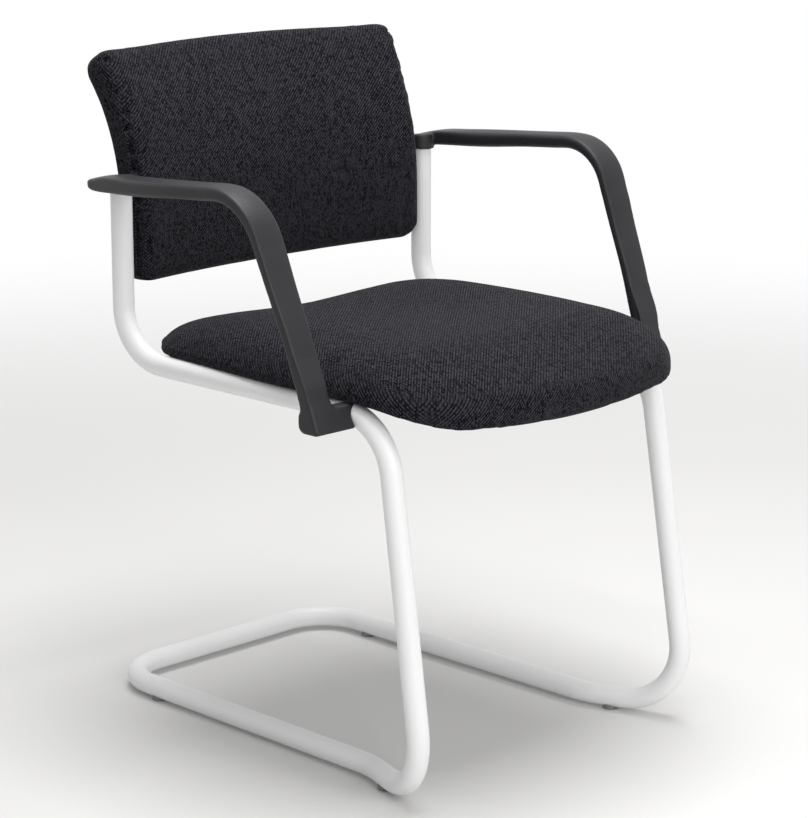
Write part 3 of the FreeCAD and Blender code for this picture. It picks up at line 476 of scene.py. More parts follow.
def finish_nodes(*names):
    """Give solids that stay visible the material of their slot."""
    slots = {entry["node"]: entry["material_slot"] for entry in frame["record"]["subparts"]}
    for name in names:
        dress(frame["nodes"][name].data, slots[name])


def settle(piece, slot, *nodes):
    """Let a finished piece ride on the chair in place of the solids that it stands for."""
    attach(piece, "root")
    if nodes:
        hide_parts(*nodes)


# Mesh helpers

def new_object(name, mesh):
    piece = bpy.data.objects.new(name, mesh)
    bpy.context.scene.collection.objects.link(piece)
    return piece


def evaluated_mesh(piece):
    """Plain mesh of a piece with its modifiers applied."""
    bpy.context.view_layer.update()
    graph = bpy.context.evaluated_depsgraph_get()
    return bpy.data.meshes.new_from_object(piece.evaluated_get(graph), depsgraph=graph)


def bake_modifiers(piece):
    mesh = evaluated_mesh(piece)
    piece.modifiers.clear()
    piece.data = mesh
    return piece


def points_of(mesh):
    flat = np.zeros(len(mesh.vertices) * 3)
    mesh.vertices.foreach_get("co", flat)
    return flat.reshape(-1, 3)


def normals_of(mesh):
    flat = np.zeros(len(mesh.vertices) * 3)
    mesh.vertices.foreach_get("normal", flat)
    return flat.reshape(-1, 3)


def set_points(mesh, points):
    mesh.vertices.foreach_set("co", points.ravel())
    mesh.update()


def shade_smooth(mesh):
    mesh.polygons.foreach_set("use_smooth", [True] * len(mesh.polygons))


def joined_solids(name, nodes):
    """One new mesh that holds copies of several solids."""
    shape = bmesh.new()
    for node in nodes:
        shape.from_mesh(frame["nodes"][node].data)
    bmesh.ops.remove_doubles(shape, verts=shape.verts, dist=SEAM)
    mesh = bpy.data.meshes.new(name)
    shape.to_mesh(mesh)
    shape.free()
    return mesh


def smooth_step(value, low, high):
    share = np.clip((value - low) / (high - low), 0.0, 1.0)
    return share * share * (3.0 - 2.0 * share)


def weigh(piece, name, weights):
    """Vertex group that holds a weight for each point."""
    group = piece.vertex_groups.new(name=name)
    for index in np.nonzero(weights)[0]:
        group.add([int(index)], float(weights[index]), "REPLACE")


def smooth_by(piece, name, rounds, group=""):
    smooth = piece.modifiers.new(name, "SMOOTH")
    smooth.factor = 0.5
    smooth.iterations = rounds
    smooth.vertex_group = group


def even_mesh(piece, voxel):
    remesh = piece.modifiers.new("even_mesh", "REMESH")
    remesh.mode = "VOXEL"
    remesh.voxel_size = voxel


def hold_off(piece, target, clearance):
    """Keep a skin outside a solid by a clearance."""
    wrap = piece.modifiers.new("off_the_shell", "SHRINKWRAP")
    wrap.target = target
    wrap.wrap_method = "NEAREST_SURFACEPOINT"
    wrap.wrap_mode = "OUTSIDE"
    wrap.offset = clearance


def distance_to(points, mesh):
    """Distance from each point to the nearest place on a mesh."""
    faces = [tuple(face.vertices) for face in mesh.polygons]
    nearest = BVHTree.FromPolygons([vert.co for vert in mesh.vertices], faces)
    return np.array([nearest.find_nearest(Vector(point))[3] for point in points])


def soft_skin(name, soft, shell, rounds, growth):
    """Even skin around a pad's solids, rounded where it lies on foam and held off the shell elsewhere.

    The growth makes up for what the rounding takes away.
    """
    skin = new_object(name, joined_solids(name, soft + (shell,)))
    even_mesh(skin, PAD_VOXEL)
    smooth_by(skin, "no_steps", 1)
    bake_modifiers(skin)
    stiff = new_object(name + "_shell", joined_solids(name + "_shell", (shell,)))
    weigh(skin, "loose", smooth_step(distance_to(points_of(skin.data), stiff.data), *LOOSE_FROM_SHELL))
    smooth_by(skin, "soft_edges", rounds, "loose")
    hold_off(skin, stiff, COVER_THICKNESS)
    bake_modifiers(skin)
    skin.vertex_groups.clear()
    bpy.data.objects.remove(stiff)
    set_points(skin.data, points_of(skin.data) + growth * normals_of(skin.data))
    return skin


def swell(piece, pressure, limits):
    """Swell a closed skin by a short cloth simulation. Limits hold the most that each point may move."""
    start = points_of(piece.data)
    cloth = piece.modifiers.new("stuffed_cover", "CLOTH")
    cloth.settings.quality = 5
    cloth.settings.mass = 0.3
    cloth.settings.use_pressure = True
    cloth.settings.uniform_pressure_force = pressure
    cloth.settings.effector_weights.gravity = 0.0
    cloth.point_cache.frame_start = 1
    cloth.point_cache.frame_end = CLOTH_FRAMES
    scene = bpy.context.scene
    for number in range(1, CLOTH_FRAMES + 1):
        scene.frame_set(number)
    swelled = points_of(evaluated_mesh(piece))
    piece.modifiers.clear()
    scene.frame_set(1)
    move = swelled - start
    size = np.linalg.norm(move, axis=1)
    share = np.minimum(1.0, limits / np.maximum(size, 1e-9))
    set_points(piece.data, start + move * share[:, None])
    return piece


def dress_pad(piece, shell):
    """Give a swelled pad its weave and a finer skin, which still clears the shell."""
    shade_smooth(piece.data)
    dress(piece.data, "charcoal_weave")
    finer = piece.modifiers.new("finer_skin", "SUBSURF")
    finer.levels = 1
    finer.render_levels = 1
    stiff = new_object(piece.name + "_shell", joined_solids(piece.name + "_shell", (shell,)))
    hold_off(piece, stiff, COVER_THICKNESS)
    bake_modifiers(piece)
    bpy.data.objects.remove(stiff)


def settle_pad(piece, *nodes):
    """Let a finished pad stand for its cover and foam."""
    settle(piece, "charcoal_weave", *nodes)


def tube_route():
    """Line through the tube's corners, from one upright's top to the other's, with each corner's bend."""
    corners = [(Vector(place), bend) for place, bend in TUBE_CORNERS]
    mirrored = [(Vector((-place.x, place.y, place.z)), bend) for place, bend in reversed(corners)]
    route = corners + mirrored
    mesh = bpy.data.meshes.new("tube_route")
    mesh.from_pydata([place for place, _ in route], [(i, i + 1) for i in range(len(route) - 1)], [])
    bends = mesh.attributes.new("bend_radius", "FLOAT", "POINT")
    bends.data.foreach_set("value", [bend for _, bend in route])
    return mesh


def welded_plate(name, node):
    """Copy of a back plate whose outer end stops behind its upright."""
    mesh = joined_solids(name, (node,))
    points = points_of(mesh)
    points[:, 0] = np.clip(points[:, 0], -PLATE_END, PLATE_END)
    set_points(mesh, points)
    dress(mesh, "frame_paint")
    return new_object(name, mesh)


def crown_seat(mesh, sizes):
    """Crown the seat's foam: full in the middle, lower at its sides, hollow where the sitter rests."""
    points = points_of(mesh)
    x = np.abs(points[:, 0])
    y = points[:, 1]
    z = points[:, 2]
    steps = np.arange(y.min() + SEAT_SLICE / 2, y.max(), SEAT_SLICE)
    slices = [np.abs(y - step) < SEAT_SLICE for step in steps]
    half_width = np.interp(y, steps, [x[piece].max() for piece in slices])
    low = np.interp(y, steps, [z[piece].min() for piece in slices])
    high = np.interp(y, steps, [z[piece].max() for piece in slices])
    towards_side = np.clip(x / half_width, 0.0, 1.0) ** SIDE_ROUNDNESS
    from_rear = 1.0 - (1.0 - np.clip((y.max() - y) / REAR_RISE, 0.0, 1.0)) ** 2
    from_front = smooth_step(y, y.min(), y.min() + FRONT_RISE)
    hollow = (1.0 - smooth_step(x, 0.0, HOLLOW_HALF_WIDTH)) * smooth_step(y, *HOLLOW_FRONT)
    lift = sizes.seat_crown * from_rear * from_front * (1.0 - towards_side)
    lift = lift - sizes.side_roll * (high - low) * towards_side - sizes.seat_dish * hollow
    points[:, 2] += lift * np.clip((z - low) / (high - low), 0.0, 1.0)
    set_points(mesh, points)


def full_top_corners(mesh):
    """Push out the top corners of the back, which rounding has taken in."""
    points = points_of(mesh)
    high = points.max(axis=0)
    side = np.sign(points[:, 0])
    share = smooth_step(np.abs(points[:, 0]), high[0] - CORNER_REACH, high[0])
    share = share * smooth_step(points[:, 2], high[2] - CORNER_REACH, high[2])
    points[:, 0] += side * CORNER_PUSH * share
    points[:, 2] += CORNER_PUSH * share
    set_points(mesh, points)


def inset_board(name, node):
    """Copy of a pad's plywood board, a little smaller all round so that it stays inside its cloth."""
    mesh = joined_solids(name, (node,))
    points = points_of(mesh)
    low = points.min(axis=0)[:2]
    high = points.max(axis=0)[:2]
    middle = (low + high) / 2
    points[:, :2] = middle + (points[:, :2] - middle) * (1.0 - BOARD_INSET / (high - middle))
    set_points(mesh, points)
    dress(mesh, "plywood")
    settle(new_object(name, mesh), "plywood", node)


def straight_strut(mesh):
    """Even out the strut of an arm: straight sides, and a front face that runs down into the foot."""
    points = points_of(mesh)
    side = np.sign(points[:, 0].mean())
    across = points[:, 0] * side
    along = points[:, 1]
    height = points[:, 2]
    strut = along < STRUT_BEHIND
    steps = np.arange(FOOT_TOP + STRUT_SLICE, STRUT_HIGH, STRUT_SLICE)
    slices = [strut & (np.abs(height - step) < STRUT_SLICE / 2) for step in steps]
    share = strut * smooth_step(height, FOOT_TOP, FOOT_TOP + STRUT_BLEND)
    share = share * (1.0 - smooth_step(height, STRUT_HIGH - STRUT_BLEND, STRUT_HIGH))
    moved = points.copy()
    moved[:, 0] = side * refitted(across, height, steps, slices, SIDE_DEGREES)
    moved[:, 1] = refitted(along, height, steps, slices, FACE_DEGREES)
    set_points(mesh, points + (moved - points) * share[:, None])


def refitted(values, height, steps, slices, degrees):
    """Carry values from between a strut's limits, slice by slice, to between plain curves of low degree."""
    low = np.array([values[piece].min() for piece in slices])
    high = np.array([values[piece].max() for piece in slices])
    level = steps.mean()
    curves = []
    old_and_new = (OLD_LIMIT_DEGREE, OLD_LIMIT_DEGREE) + degrees
    for limit, degree in zip((low, high, low, high), old_and_new):
        fit = np.polyfit(steps - level, limit, degree)
        curves.append(np.polyval(fit, np.clip(height, steps[0], steps[-1]) - level))
    old_low, old_high, new_low, new_high = curves
    return new_low + (values - old_low) * (new_high - new_low) / (old_high - old_low)


def toe_wedge(side):
    """Wedge between the strut and the foot of one arm, given by its corners and six faces."""
    corners = []
    for inner, outer, front, rear, height in TOE_ENDS:
        outline = ((inner, front), (outer, front), (outer, rear), (inner, rear))
        corners += [(side * x, y, height) for x, y in outline]
    faces = [(3, 2, 1, 0), (4, 5, 6, 7)] + [(i, (i + 1) % 4, 4 + (i + 1) % 4, 4 + i) for i in range(4)]
    return corners, faces if side > 0 else [face[::-1] for face in faces]


def arm_with_toe(name, node, side):
    """Copy of an arm's solid with the toe's wedge, to be merged by an even mesh."""
    mesh = joined_solids(name, (node,))
    wedge = bpy.data.meshes.new("toe_wedge")
    corners, faces = toe_wedge(side)
    wedge.from_pydata(corners, [], faces)
    shape = bmesh.new()
    shape.from_mesh(mesh)
    shape.from_mesh(wedge)
    shape.to_mesh(mesh)
    shape.free()
    bpy.data.meshes.remove(wedge)
    return mesh


def tapered_nose(mesh):
    """Thin the armrest's rear end towards its tip."""
    points = points_of(mesh)
    share = smooth_step(points[:, 1], NOSE_START, points[:, 1].max())
    points[:, 2] = NOSE_MIDDLE + (points[:, 2] - NOSE_MIDDLE) * (1.0 - NOSE_TAPER * share)
    set_points(mesh, points)


def open_hem(piece, node):
    """Cut the hem's opening under the seat, a little larger than the dust sheet that closes it."""
    sheet = joined_solids("hem_opening", (node,))
    points = points_of(sheet)
    centre = points.mean(axis=0)
    normal = np.linalg.svd(points - centre, full_matrices=False)[2][2]
    normal *= np.sign(normal[2])
    offset = points - centre
    above = (offset @ normal) > 0
    outward = offset - np.outer(offset @ normal, normal)
    half = np.abs(outward).max(axis=0)
    grown = outward * (1.0 + HEM_OVERLAP / np.maximum(half, HEM_OVERLAP))
    lift = np.where(above, (offset @ normal) + SHELL_OVERLAP, (offset @ normal) - HEM_DEPTH)
    set_points(sheet, centre + grown + np.outer(lift, normal))
    cutter = new_object("hem_opening", sheet)
    opening = piece.modifiers.new("hem_opening", "BOOLEAN")
    opening.operation = "DIFFERENCE"
    opening.solver = "EXACT"
    opening.object = cutter
    bake_modifiers(piece)
    bpy.data.objects.remove(cutter)


def staple_route():
    """Closed line round the dust sheet, with two points where each of its corners is cut off."""
    sheet = points_of(frame["nodes"]["seat_dust_cover"].data)
    low = sheet.min(axis=0)
    high = sheet.max(axis=0)
    slope = (high[2] - low[2] - DUST_SHEET) / (high[1] - low[1])
    corners = []
    for x, y in ((1, 1), (-1, 1), (-1, -1), (1, -1)):
        edge_y = high[1] + STAPLE_MARGIN if y > 0 else low[1] - STAPLE_MARGIN
        for cut_x, cut_y in ((0, 1), (1, 0)) if x == y else ((1, 0), (0, 1)):
            place_x = x * (high[0] + STAPLE_MARGIN - HEM_CORNER * cut_x)
            place_y = edge_y - y * HEM_CORNER * cut_y
            height = low[2] + slope * (place_y - low[1]) - STAPLE_SETBACK
            corners.append((place_x, place_y, height))
    mesh = bpy.data.meshes.new("staple_route")
    mesh.from_pydata(corners, [(i, (i + 1) % len(corners)) for i in range(len(corners))], [])
    return mesh


# Geometry node trees

def geometry_tree(name, inputs):
    """Geometry tree with a mesh input, more named inputs and a mesh output."""
    tree = bpy.data.node_groups.new(name, "GeometryNodeTree")
    tree.interface.new_socket("Geometry", in_out="INPUT", socket_type="NodeSocketGeometry")
    for label, kind in inputs:
        tree.interface.new_socket(label, in_out="INPUT", socket_type=kind)
    tree.interface.new_socket("Geometry", in_out="OUTPUT", socket_type="NodeSocketGeometry")
    return tree, tree.nodes.new("NodeGroupInput"), tree.nodes.new("NodeGroupOutput")


def close_tree(tree, given, result, geometry):
    """End a tree in plain geometry with the material that the modifier names."""
    realize = tree.nodes.new("GeometryNodeRealizeInstances")
    finish = tree.nodes.new("GeometryNodeSetMaterial")
    link_all(
        tree,
        (geometry, realize.inputs[0]),
        (realize.outputs[0], finish.inputs["Geometry"]),
        (given.outputs["Material"], finish.inputs["Material"]),
        (finish.outputs[0], result.inputs[0]),
    )


def run_tree(piece, tree, **values):
    """Run a geometry tree on a piece and keep the result as its plain mesh."""
    modifier = piece.modifiers.new(tree.name, "NODES")
    modifier.node_group = tree
    for item in tree.interface.items_tree:
        label = item.name.replace(" ", "_")
        if item.in_out == "INPUT" and label in values:
            modifier[item.identifier] = values[label]
    return bake_modifiers(piece)


def bent_tube_tree():
    """Round tube along a line of corner points, each rounded by its own bend radius."""
    tree, given, result = geometry_tree(
        "Bent Tube",
        [("Diameter", "NodeSocketFloat"), ("Material", "NodeSocketMaterial")],
    )
    to_curve = tree.nodes.new("GeometryNodeMeshToCurve")
    bends = node_tree_node(tree, "GeometryNodeFilletCurve", mode="POLY")
    radius = node_tree_node(tree, "GeometryNodeInputNamedAttribute", data_type="FLOAT")
    radius.inputs["Name"].default_value = "bend_radius"
    ring = tree.nodes.new("GeometryNodeCurvePrimitiveCircle")
    skin = tree.nodes.new("GeometryNodeCurveToMesh")
    smooth = tree.nodes.new("GeometryNodeSetShadeSmooth")
    bends.inputs["Count"].default_value = BEND_STEPS
    ring.inputs["Resolution"].default_value = TUBE_SIDES
    skin.inputs["Fill Caps"].default_value = True
    link_all(
        tree,
        (given.outputs["Geometry"], to_curve.inputs["Mesh"]),
        (to_curve.outputs[0], bends.inputs["Curve"]),
        (radius.outputs[0], bends.inputs["Radius"]),
        (calculate(tree, "DIVIDE", given.outputs["Diameter"], 2.0), ring.inputs["Radius"]),
        (bends.outputs[0], skin.inputs["Curve"]),
        (ring.outputs[0], skin.inputs["Profile Curve"]),
        (skin.outputs[0], smooth.inputs["Geometry"]),
    )
    close_tree(tree, given, result, smooth.outputs[0])
    return tree


def staple_row_tree():
    """Flat wire staples at even steps along a line of corner points."""
    tree, given, result = geometry_tree(
        "Staple Row",
        [("Spacing", "NodeSocketFloat"), ("Crown", "NodeSocketFloat"), ("Wire", "NodeSocketFloat"),
         ("Material", "NodeSocketMaterial")],
    )
    to_curve = tree.nodes.new("GeometryNodeMeshToCurve")
    steps = node_tree_node(tree, "GeometryNodeCurveToPoints", mode="LENGTH")
    turn = node_tree_node(tree, "FunctionNodeAlignRotationToVector", axis="X", pivot_axis="Z")
    wire = tree.nodes.new("GeometryNodeMeshCube")
    row = tree.nodes.new("GeometryNodeInstanceOnPoints")
    size = combine(tree, given.outputs["Crown"], given.outputs["Wire"], given.outputs["Wire"])
    link_all(
        tree,
        (given.outputs["Geometry"], to_curve.inputs["Mesh"]),
        (to_curve.outputs[0], steps.inputs["Curve"]),
        (given.outputs["Spacing"], steps.inputs["Length"]),
        (steps.outputs["Tangent"], turn.inputs["Vector"]),
        (size, wire.inputs["Size"]),
        (steps.outputs["Points"], row.inputs["Points"]),
        (wire.outputs["Mesh"], row.inputs["Instance"]),
        (turn.outputs[0], row.inputs["Rotation"]),
    )
    close_tree(tree, given, result, row.outputs[0])
    return tree


def socket_screw_tree():
    """Socket screws: each head's outer end is at a point, and its shank runs against "facing"."""
    tree, given, result = geometry_tree(
        "Socket Screws",
        [("Head Diameter", "NodeSocketFloat"), ("Head Height", "NodeSocketFloat"),
         ("Socket Width", "NodeSocketFloat"), ("Shank Diameter", "NodeSocketFloat"),
         ("Length", "NodeSocketFloat"), ("Material", "NodeSocketMaterial")],
    )
    head_half = calculate(tree, "DIVIDE", given.outputs["Head Height"], 2.0)
    shank_half = calculate(tree, "DIVIDE", given.outputs["Length"], 2.0)
    head = bar(tree, HEAD_SIDES, given.outputs["Head Diameter"], given.outputs["Head Height"],
               calculate(tree, "MULTIPLY", head_half, -1.0))
    recess = bar(tree, SOCKET_SIDES, given.outputs["Socket Width"], given.outputs["Head Height"],
                 calculate(tree, "MULTIPLY", head_half, SOCKET_MIDDLE))
    shank = bar(tree, SHANK_SIDES, given.outputs["Shank Diameter"], given.outputs["Length"],
                calculate(tree, "MULTIPLY", shank_half, -1.0))
    drilled = node_tree_node(tree, "GeometryNodeMeshBoolean", operation="DIFFERENCE")
    low_shank = tree.nodes.new("GeometryNodeTransform")
    drop = combine(tree, 0.0, 0.0, calculate(tree, "MULTIPLY", given.outputs["Head Height"], -1.0))
    whole = tree.nodes.new("GeometryNodeJoinGeometry")
    facing = node_tree_node(tree, "GeometryNodeInputNamedAttribute", data_type="FLOAT_VECTOR")
    facing.inputs["Name"].default_value = "facing"
    turn = node_tree_node(tree, "FunctionNodeAlignRotationToVector", axis="Z")
    row = tree.nodes.new("GeometryNodeInstanceOnPoints")
    link_all(
        tree,
        (head, drilled.inputs["Mesh 1"]),
        (recess, drilled.inputs["Mesh 2"]),
        (shank, low_shank.inputs["Geometry"]),
        (drop, low_shank.inputs["Translation"]),
        (drilled.outputs[0], whole.inputs[0]),
        (low_shank.outputs[0], whole.inputs[0]),
        (facing.outputs[0], turn.inputs["Vector"]),
        (given.outputs["Geometry"], row.inputs["Points"]),
        (whole.outputs[0], row.inputs["Instance"]),
        (turn.outputs[0], row.inputs["Rotation"]),
    )
    close_tree(tree, given, result, row.outputs[0])
    return tree


def bar(tree, sides, diameter, length, middle):
    """Upright bar of a geometry tree with its middle at a height."""
    solid = tree.nodes.new("GeometryNodeMeshCylinder")
    solid.inputs["Vertices"].default_value = sides
    place = tree.nodes.new("GeometryNodeTransform")
    link_all(
        tree,
        (calculate(tree, "DIVIDE", diameter, 2.0), solid.inputs["Radius"]),
        (length, solid.inputs["Depth"]),
        (solid.outputs["Mesh"], place.inputs["Geometry"]),
        (combine(tree, 0.0, 0.0, middle), place.inputs["Translation"]),
    )
    return place.outputs[0]


def screw_places(node):
    """Outer end of the head, the way it faces, and the length of each screw in a node of screws."""
    shape = bmesh.new()
    shape.from_mesh(frame["nodes"][node].data)
    bmesh.ops.remove_doubles(shape, verts=shape.verts, dist=SCREW_SEAM)
    places = []
    waiting = set(shape.verts)
    while waiting:
        island = {waiting.pop()}
        edge = list(island)
        while edge:
            near = {link.other_vert(vert) for vert in edge for link in vert.link_edges} & waiting
            waiting -= near
            island |= near
            edge = list(near)
        points = np.array([vert.co for vert in island])
        middle = (points.min(axis=0) + points.max(axis=0)) / 2
        axis = np.linalg.svd(points - points.mean(axis=0), full_matrices=False)[2][0]
        along = (points - middle) @ axis
        across = np.linalg.norm((points - middle) - np.outer(along, axis), axis=1)
        facing = axis * np.sign(along[across.argmax()])
        reach = np.abs(along).max()
        places.append((middle + facing * reach, facing, 2 * reach))
    shape.free()
    return places


# Settings

class ChairSizes(bpy.types.PropertyGroup):
    tube_diameter: FloatProperty(
        name="Tube diameter", description="Outer diameter of the frame tube",
        default=0.025, min=0.01, max=0.05, subtype="DISTANCE")
    seat_swell: FloatProperty(
        name="Seat swell", description="Most that the seat's cloth stands out from its foam",
        default=0.002, min=0.0, max=0.02, subtype="DISTANCE")
    seat_crown: FloatProperty(
        name="Seat crown", description="Rise of the seat's foam in the middle",
        default=0.015, min=0.0, max=0.03, subtype="DISTANCE")
    seat_dish: FloatProperty(
        name="Seat dish", description="Depth of the hollow where the sitter rests",
        default=0.008, min=0.0, max=0.02, subtype="DISTANCE")
    side_roll: FloatProperty(
        name="Side roll", description="Share of the seat's thickness that its foam loses at the sides",
        default=0.42, min=0.0, max=0.6, subtype="FACTOR")
    staple_spacing: FloatProperty(
        name="Staple spacing", description="Step between the staples of the hem",
        default=0.03, min=0.01, max=0.1, subtype="DISTANCE")
    back_swell: FloatProperty(
        name="Back swell", description="Most that the back's cloth stands out from its foam",
        default=0.0015, min=0.0, max=0.02, subtype="DISTANCE")
    pad_pressure: FloatProperty(
        name="Pad pressure", description="Inner pressure of the pads in the cloth simulation",
        default=4.0, min=0.0, max=20.0)


class ChairColours(bpy.types.PropertyGroup):
    paint: FloatVectorProperty(
        name="Frame paint", description="Powder coat of the tube, braces and plates",
        default=(0.84, 0.84, 0.845), subtype="COLOR", min=0.0, max=1.0)
    arms: FloatVectorProperty(
        name="Arms", description="Moulded plastic of the arms",
        default=(0.0155, 0.0155, 0.018), subtype="COLOR", min=0.0, max=1.0)
    glides: FloatVectorProperty(
        name="Glides", description="Plastic of the floor glides",
        default=(0.2, 0.2, 0.205), subtype="COLOR", min=0.0, max=1.0)
    cloth_dark: FloatVectorProperty(
        name="Dark yarn", description="Darkest yarn of the weave",
        default=(0.0015, 0.0015, 0.0025), subtype="COLOR", min=0.0, max=1.0)
    cloth_light: FloatVectorProperty(
        name="Light yarn", description="Lightest yarn of the weave",
        default=(0.050, 0.050, 0.061), subtype="COLOR", min=0.0, max=1.0)
    floor: FloatVectorProperty(
        name="Floor", description="Pale studio floor and backdrop",
        default=(0.72, 0.715, 0.705), subtype="COLOR", min=0.0, max=1.0)


# Operators

class CHAIR_OT_materials(bpy.types.Operator):
    """Make the chair's materials"""
    bl_idname = "chair.materials"
    bl_label = "Materials"

    def execute(self, context):
        make_materials(context.scene.chair_colours)
        return {"FINISHED"}


class CHAIR_OT_frame(bpy.types.Operator):
    """Bend the frame tube and paint the braces and plates"""
    bl_idname = "chair.frame"
    bl_label = "Frame"

    def execute(self, context):
        tube = new_object("bent_tube", tube_route())
        run_tree(tube, bent_tube_tree(), Diameter=context.scene.chair_sizes.tube_diameter,
                 Material=MATERIALS["frame_paint"])
        settle(tube, "frame_paint", "frame_tube")
        for node in ("back_plate_left", "back_plate_right"):
            settle(welded_plate("welded_" + node, node), "frame_paint", node)
        finish_nodes("front_brace", "rear_brace")
        return {"FINISHED"}


class CHAIR_OT_seat(bpy.types.Operator):
    """Stuff the seat pad and finish the pieces inside and under it"""
    bl_idname = "chair.seat"
    bl_label = "Seat"

    def execute(self, context):
        sizes = context.scene.chair_sizes
        soft = ("seat_cover", "seat_foam", "seat_dust_cover")
        seat = soft_skin("seat_pad", soft, "seat_shell", SEAT_ROUNDS, SEAT_GROWTH)
        free = smooth_step(normals_of(seat.data)[:, 2], *SEAT_FREE_FACING)
        swell(seat, sizes.pad_pressure, sizes.seat_swell * free)
        crown_seat(seat.data, sizes)
        dress_pad(seat, "seat_shell")
        open_hem(seat, "seat_dust_cover")
        settle_pad(seat, "seat_cover", "seat_foam")
        inset_board("seat_board", "seat_shell")
        finish_nodes("seat_dust_cover", "seat_spacers", "seat_t_nuts")
        return {"FINISHED"}


class CHAIR_OT_staples(bpy.types.Operator):
    """Staple the seat's hem all round its opening"""
    bl_idname = "chair.staples"
    bl_label = "Staples"

    def execute(self, context):
        staples = new_object("hem_staples", staple_route())
        run_tree(staples, staple_row_tree(), Spacing=context.scene.chair_sizes.staple_spacing,
                 Crown=STAPLE_CROWN, Wire=STAPLE_WIRE, Material=MATERIALS["zinc_steel"])
        settle(staples, "zinc_steel")
        return {"FINISHED"}


class CHAIR_OT_screws(bpy.types.Operator):
    """Set socket screws where the seat and the arms are screwed to the frame"""
    bl_idname = "chair.screws"
    bl_label = "Screws"

    def execute(self, context):
        tree = socket_screw_tree()
        for node in ("seat_screws", "arm_foot_screws"):
            places = screw_places(node)
            mesh = bpy.data.meshes.new(node + "_places")
            mesh.from_pydata([place for place, _, _ in places], [], [])
            facing = mesh.attributes.new("facing", "FLOAT_VECTOR", "POINT")
            facing.data.foreach_set("vector", np.array([way for _, way, _ in places]).ravel())
            screws = new_object(node.replace("screws", "socket_screws"), mesh)
            run_tree(screws, tree, Head_Diameter=HEAD_DIAMETER, Head_Height=HEAD_HEIGHT,
                     Socket_Width=SOCKET_WIDTH, Shank_Diameter=SHANK_DIAMETER,
                     Length=float(places[0][2]) - HEAD_HEIGHT, Material=MATERIALS["zinc_steel"])
            settle(screws, "zinc_steel", node)
        return {"FINISHED"}


class CHAIR_OT_back(bpy.types.Operator):
    """Stuff the back pad and finish the pieces inside it"""
    bl_idname = "chair.back"
    bl_label = "Back"

    def execute(self, context):
        sizes = context.scene.chair_sizes
        soft = ("back_cover", "back_foam", "back_rear_foam")
        back = soft_skin("back_pad", soft, "back_shell", BACK_ROUNDS, BACK_GROWTH)
        held = smooth_step(np.abs(normals_of(back.data)[:, 0]), *BACK_HELD_FACING)
        swell(back, sizes.pad_pressure, sizes.back_swell * (1.0 - BACK_HELD_SHARE * held))
        full_top_corners(back.data)
        dress_pad(back, "back_shell")
        settle_pad(back, *soft)
        finish_nodes("back_shell", "back_screws", "back_t_nuts")
        return {"FINISHED"}


class CHAIR_OT_arms(bpy.types.Operator):
    """Ease the moulded arms so that the socket, bar, strut and foot run into each other"""
    bl_idname = "chair.arms"
    bl_label = "Arms"

    def execute(self, context):
        for node, side in (("arm_left", 1), ("arm_right", -1)):
            arm = new_object("moulded_" + node, arm_with_toe("moulded_" + node, node, side))
            even_mesh(arm, ARM_VOXEL)
            bake_modifiers(arm)
            straight_strut(arm.data)
            tapered_nose(arm.data)
            height = points_of(arm.data)[:, 2]
            weigh(arm, "foot", 1.0 - smooth_step(height, FOOT_TOP, FOOT_TOP + STRUT_BLEND))
            smooth_by(arm, "foot_blend", FOOT_SMOOTHING, "foot")
            smooth_by(arm, "moulded_edges", ARM_SMOOTHING)
            bake_modifiers(arm)
            arm.vertex_groups.clear()
            shade_smooth(arm.data)
            dress(arm.data, "arm_plastic")
            settle(arm, "arm_plastic", node)
        finish_nodes("arm_foot_inserts")
        return {"FINISHED"}


class CHAIR_OT_glides(bpy.types.Operator):
    """Finish the floor glides"""
    bl_idname = "chair.glides"
    bl_label = "Glides"

    def execute(self, context):
        finish_nodes("glide_front_left", "glide_front_right", "glide_rear_left", "glide_rear_right")
        return {"FINISHED"}


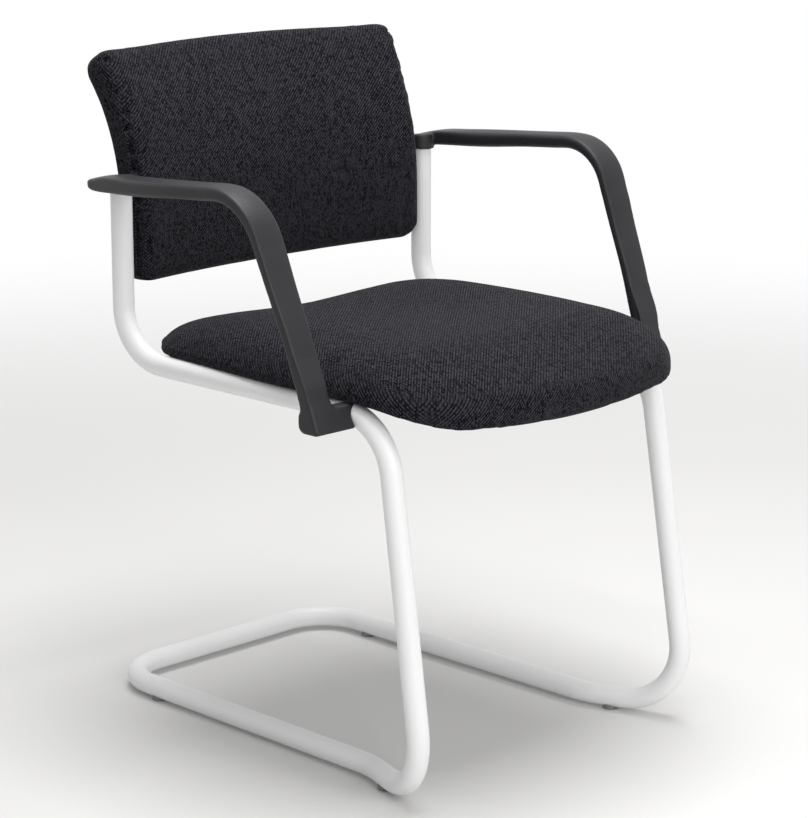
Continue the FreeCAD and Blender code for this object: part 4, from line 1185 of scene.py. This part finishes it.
class CHAIR_OT_stage(bpy.types.Operator):
    """Set the floor, the light and the camera"""
    bl_idname = "chair.stage"
    bl_label = "Stage"

    def execute(self, context):
        scene = context.scene
        scene.view_settings.view_transform = "Standard"
        self.make_floor(scene.chair_colours.floor)
        self.make_world(scene)
        self.make_lamp("key_softbox", place=(0.2, -0.1, 3.0), target=(0.0, -0.1, LAMP_TARGET_HEIGHT),
                       size=1.8, power=82.0)
        self.make_lamp("front_softbox", place=(-0.8, -2.8, 1.6), target=(0.0, 0.0, LAMP_TARGET_HEIGHT),
                       size=2.0, power=46.0)
        self.make_camera(scene)
        return {"FINISHED"}

    def make_camera(self, scene):
        camera = bpy.data.cameras.new("photo_camera")
        camera.sensor_width = SENSOR
        camera.lens = PHOTO_FOCAL_PX * SENSOR / PHOTO_HEIGHT_PX
        camera.clip_end = CAMERA_REACH
        holder = bpy.data.objects.new("photo_camera", camera)
        holder.location = CAMERA_PLACE
        holder.rotation_euler = (math.radians(90 - CAMERA_PITCH), 0.0, math.radians(CAMERA_AZIMUTH))
        scene.collection.objects.link(holder)
        scene.camera = holder

    def make_floor(self, colour):
        mesh = bpy.data.meshes.new("studio_floor")
        corners = [(x * FLOOR_REACH, y * FLOOR_REACH, 0) for x, y in ((-1, -1), (1, -1), (1, 1), (-1, 1))]
        mesh.from_pydata(corners, [], [(0, 1, 2, 3)])
        material, tree, shader = new_material("pale_floor")
        place = object_place(tree)
        cloud = noise(tree, place, FLOOR_CLOUD_SCALE)
        darker = [channel * FLOOR_CLOUD_TONE for channel in colour] + [1.0]
        tree.links.new(mix_colours(tree, cloud, darker, list(colour) + [1.0]), shader.inputs["Base Color"])
        shader.inputs["Roughness"].default_value = 0.6
        glow = node_tree_node(tree, "ShaderNodeEmission")
        far = node_tree_node(tree, "ShaderNodeVectorMath", operation="LENGTH")
        tree.links.new(place, far.inputs[0])
        fade = spread(tree, far.outputs["Value"], *FLOOR_FADE)
        share = calculate(tree, "MULTIPLY", fade, self.seen(tree))
        blend = node_tree_node(tree, "ShaderNodeMixShader")
        link_all(
            tree,
            (share, blend.inputs[0]),
            (shader.outputs[0], blend.inputs[1]),
            (glow.outputs[0], blend.inputs[2]),
            (blend.outputs[0], tree.nodes["Material Output"].inputs["Surface"]),
        )
        mesh.materials.append(material)
        new_object("studio_floor", mesh)

    def seen(self, tree):
        """1 where the camera sees a surface, directly or in gloss or glass."""
        ray = node_tree_node(tree, "ShaderNodeLightPath").outputs
        mirrored = calculate(tree, "MAXIMUM", ray["Is Glossy Ray"], ray["Is Transmission Ray"])
        return calculate(tree, "MAXIMUM", ray["Is Camera Ray"], mirrored)

    def make_world(self, scene):
        world = bpy.data.worlds.new("studio_world")
        world.use_nodes = True
        scene.world = world
        tree = world.node_tree
        background = tree.nodes["Background"]
        background.inputs["Color"].default_value = (1.0, 1.0, 1.0, 1.0)
        tree.links.new(mix_values(tree, self.seen(tree), WORLD_LIGHT, 1.0), background.inputs["Strength"])

    def make_lamp(self, name, place, target, size, power):
        lamp = bpy.data.lights.new(name, "AREA")
        lamp.shape = "SQUARE"
        lamp.size = size
        lamp.energy = power
        holder = bpy.data.objects.new(name, lamp)
        holder.location = place
        holder.rotation_euler = (Vector(target) - Vector(place)).to_track_quat("-Z", "Y").to_euler()
        bpy.context.scene.collection.objects.link(holder)


class CHAIR_PT_panel(bpy.types.Panel):
    """Sizes, colours and steps of the chair"""
    bl_idname = "CHAIR_PT_panel"
    bl_label = "Cantilever chair"
    bl_space_type = "VIEW_3D"
    bl_region_type = "UI"
    bl_category = "Chair"

    def draw(self, context):
        for group in (context.scene.chair_sizes, context.scene.chair_colours):
            for name in group.__annotations__:
                self.layout.prop(group, name)
        for step in STEPS:
            self.layout.operator(step.bl_idname)


STEPS = (
    CHAIR_OT_materials,
    CHAIR_OT_frame,
    CHAIR_OT_seat,
    CHAIR_OT_staples,
    CHAIR_OT_screws,
    CHAIR_OT_back,
    CHAIR_OT_arms,
    CHAIR_OT_glides,
    CHAIR_OT_stage,
)
CLASSES = (ChairSizes, ChairColours) + STEPS + (CHAIR_PT_panel,)


def register():
    for item in CLASSES:
        bpy.utils.register_class(item)
    bpy.types.Scene.chair_sizes = PointerProperty(type=ChairSizes)
    bpy.types.Scene.chair_colours = PointerProperty(type=ChairColours)


def unregister():
    del bpy.types.Scene.chair_sizes
    del bpy.types.Scene.chair_colours
    for item in reversed(CLASSES):
        bpy.utils.unregister_class(item)


def main():
    register()
    bpy.ops.chair.materials()
    bpy.ops.chair.frame()
    bpy.ops.chair.seat()
    bpy.ops.chair.staples()
    bpy.ops.chair.screws()
    bpy.ops.chair.back()
    bpy.ops.chair.arms()
    bpy.ops.chair.glides()
    bpy.ops.chair.stage()


if __name__ == "__main__":
    main()
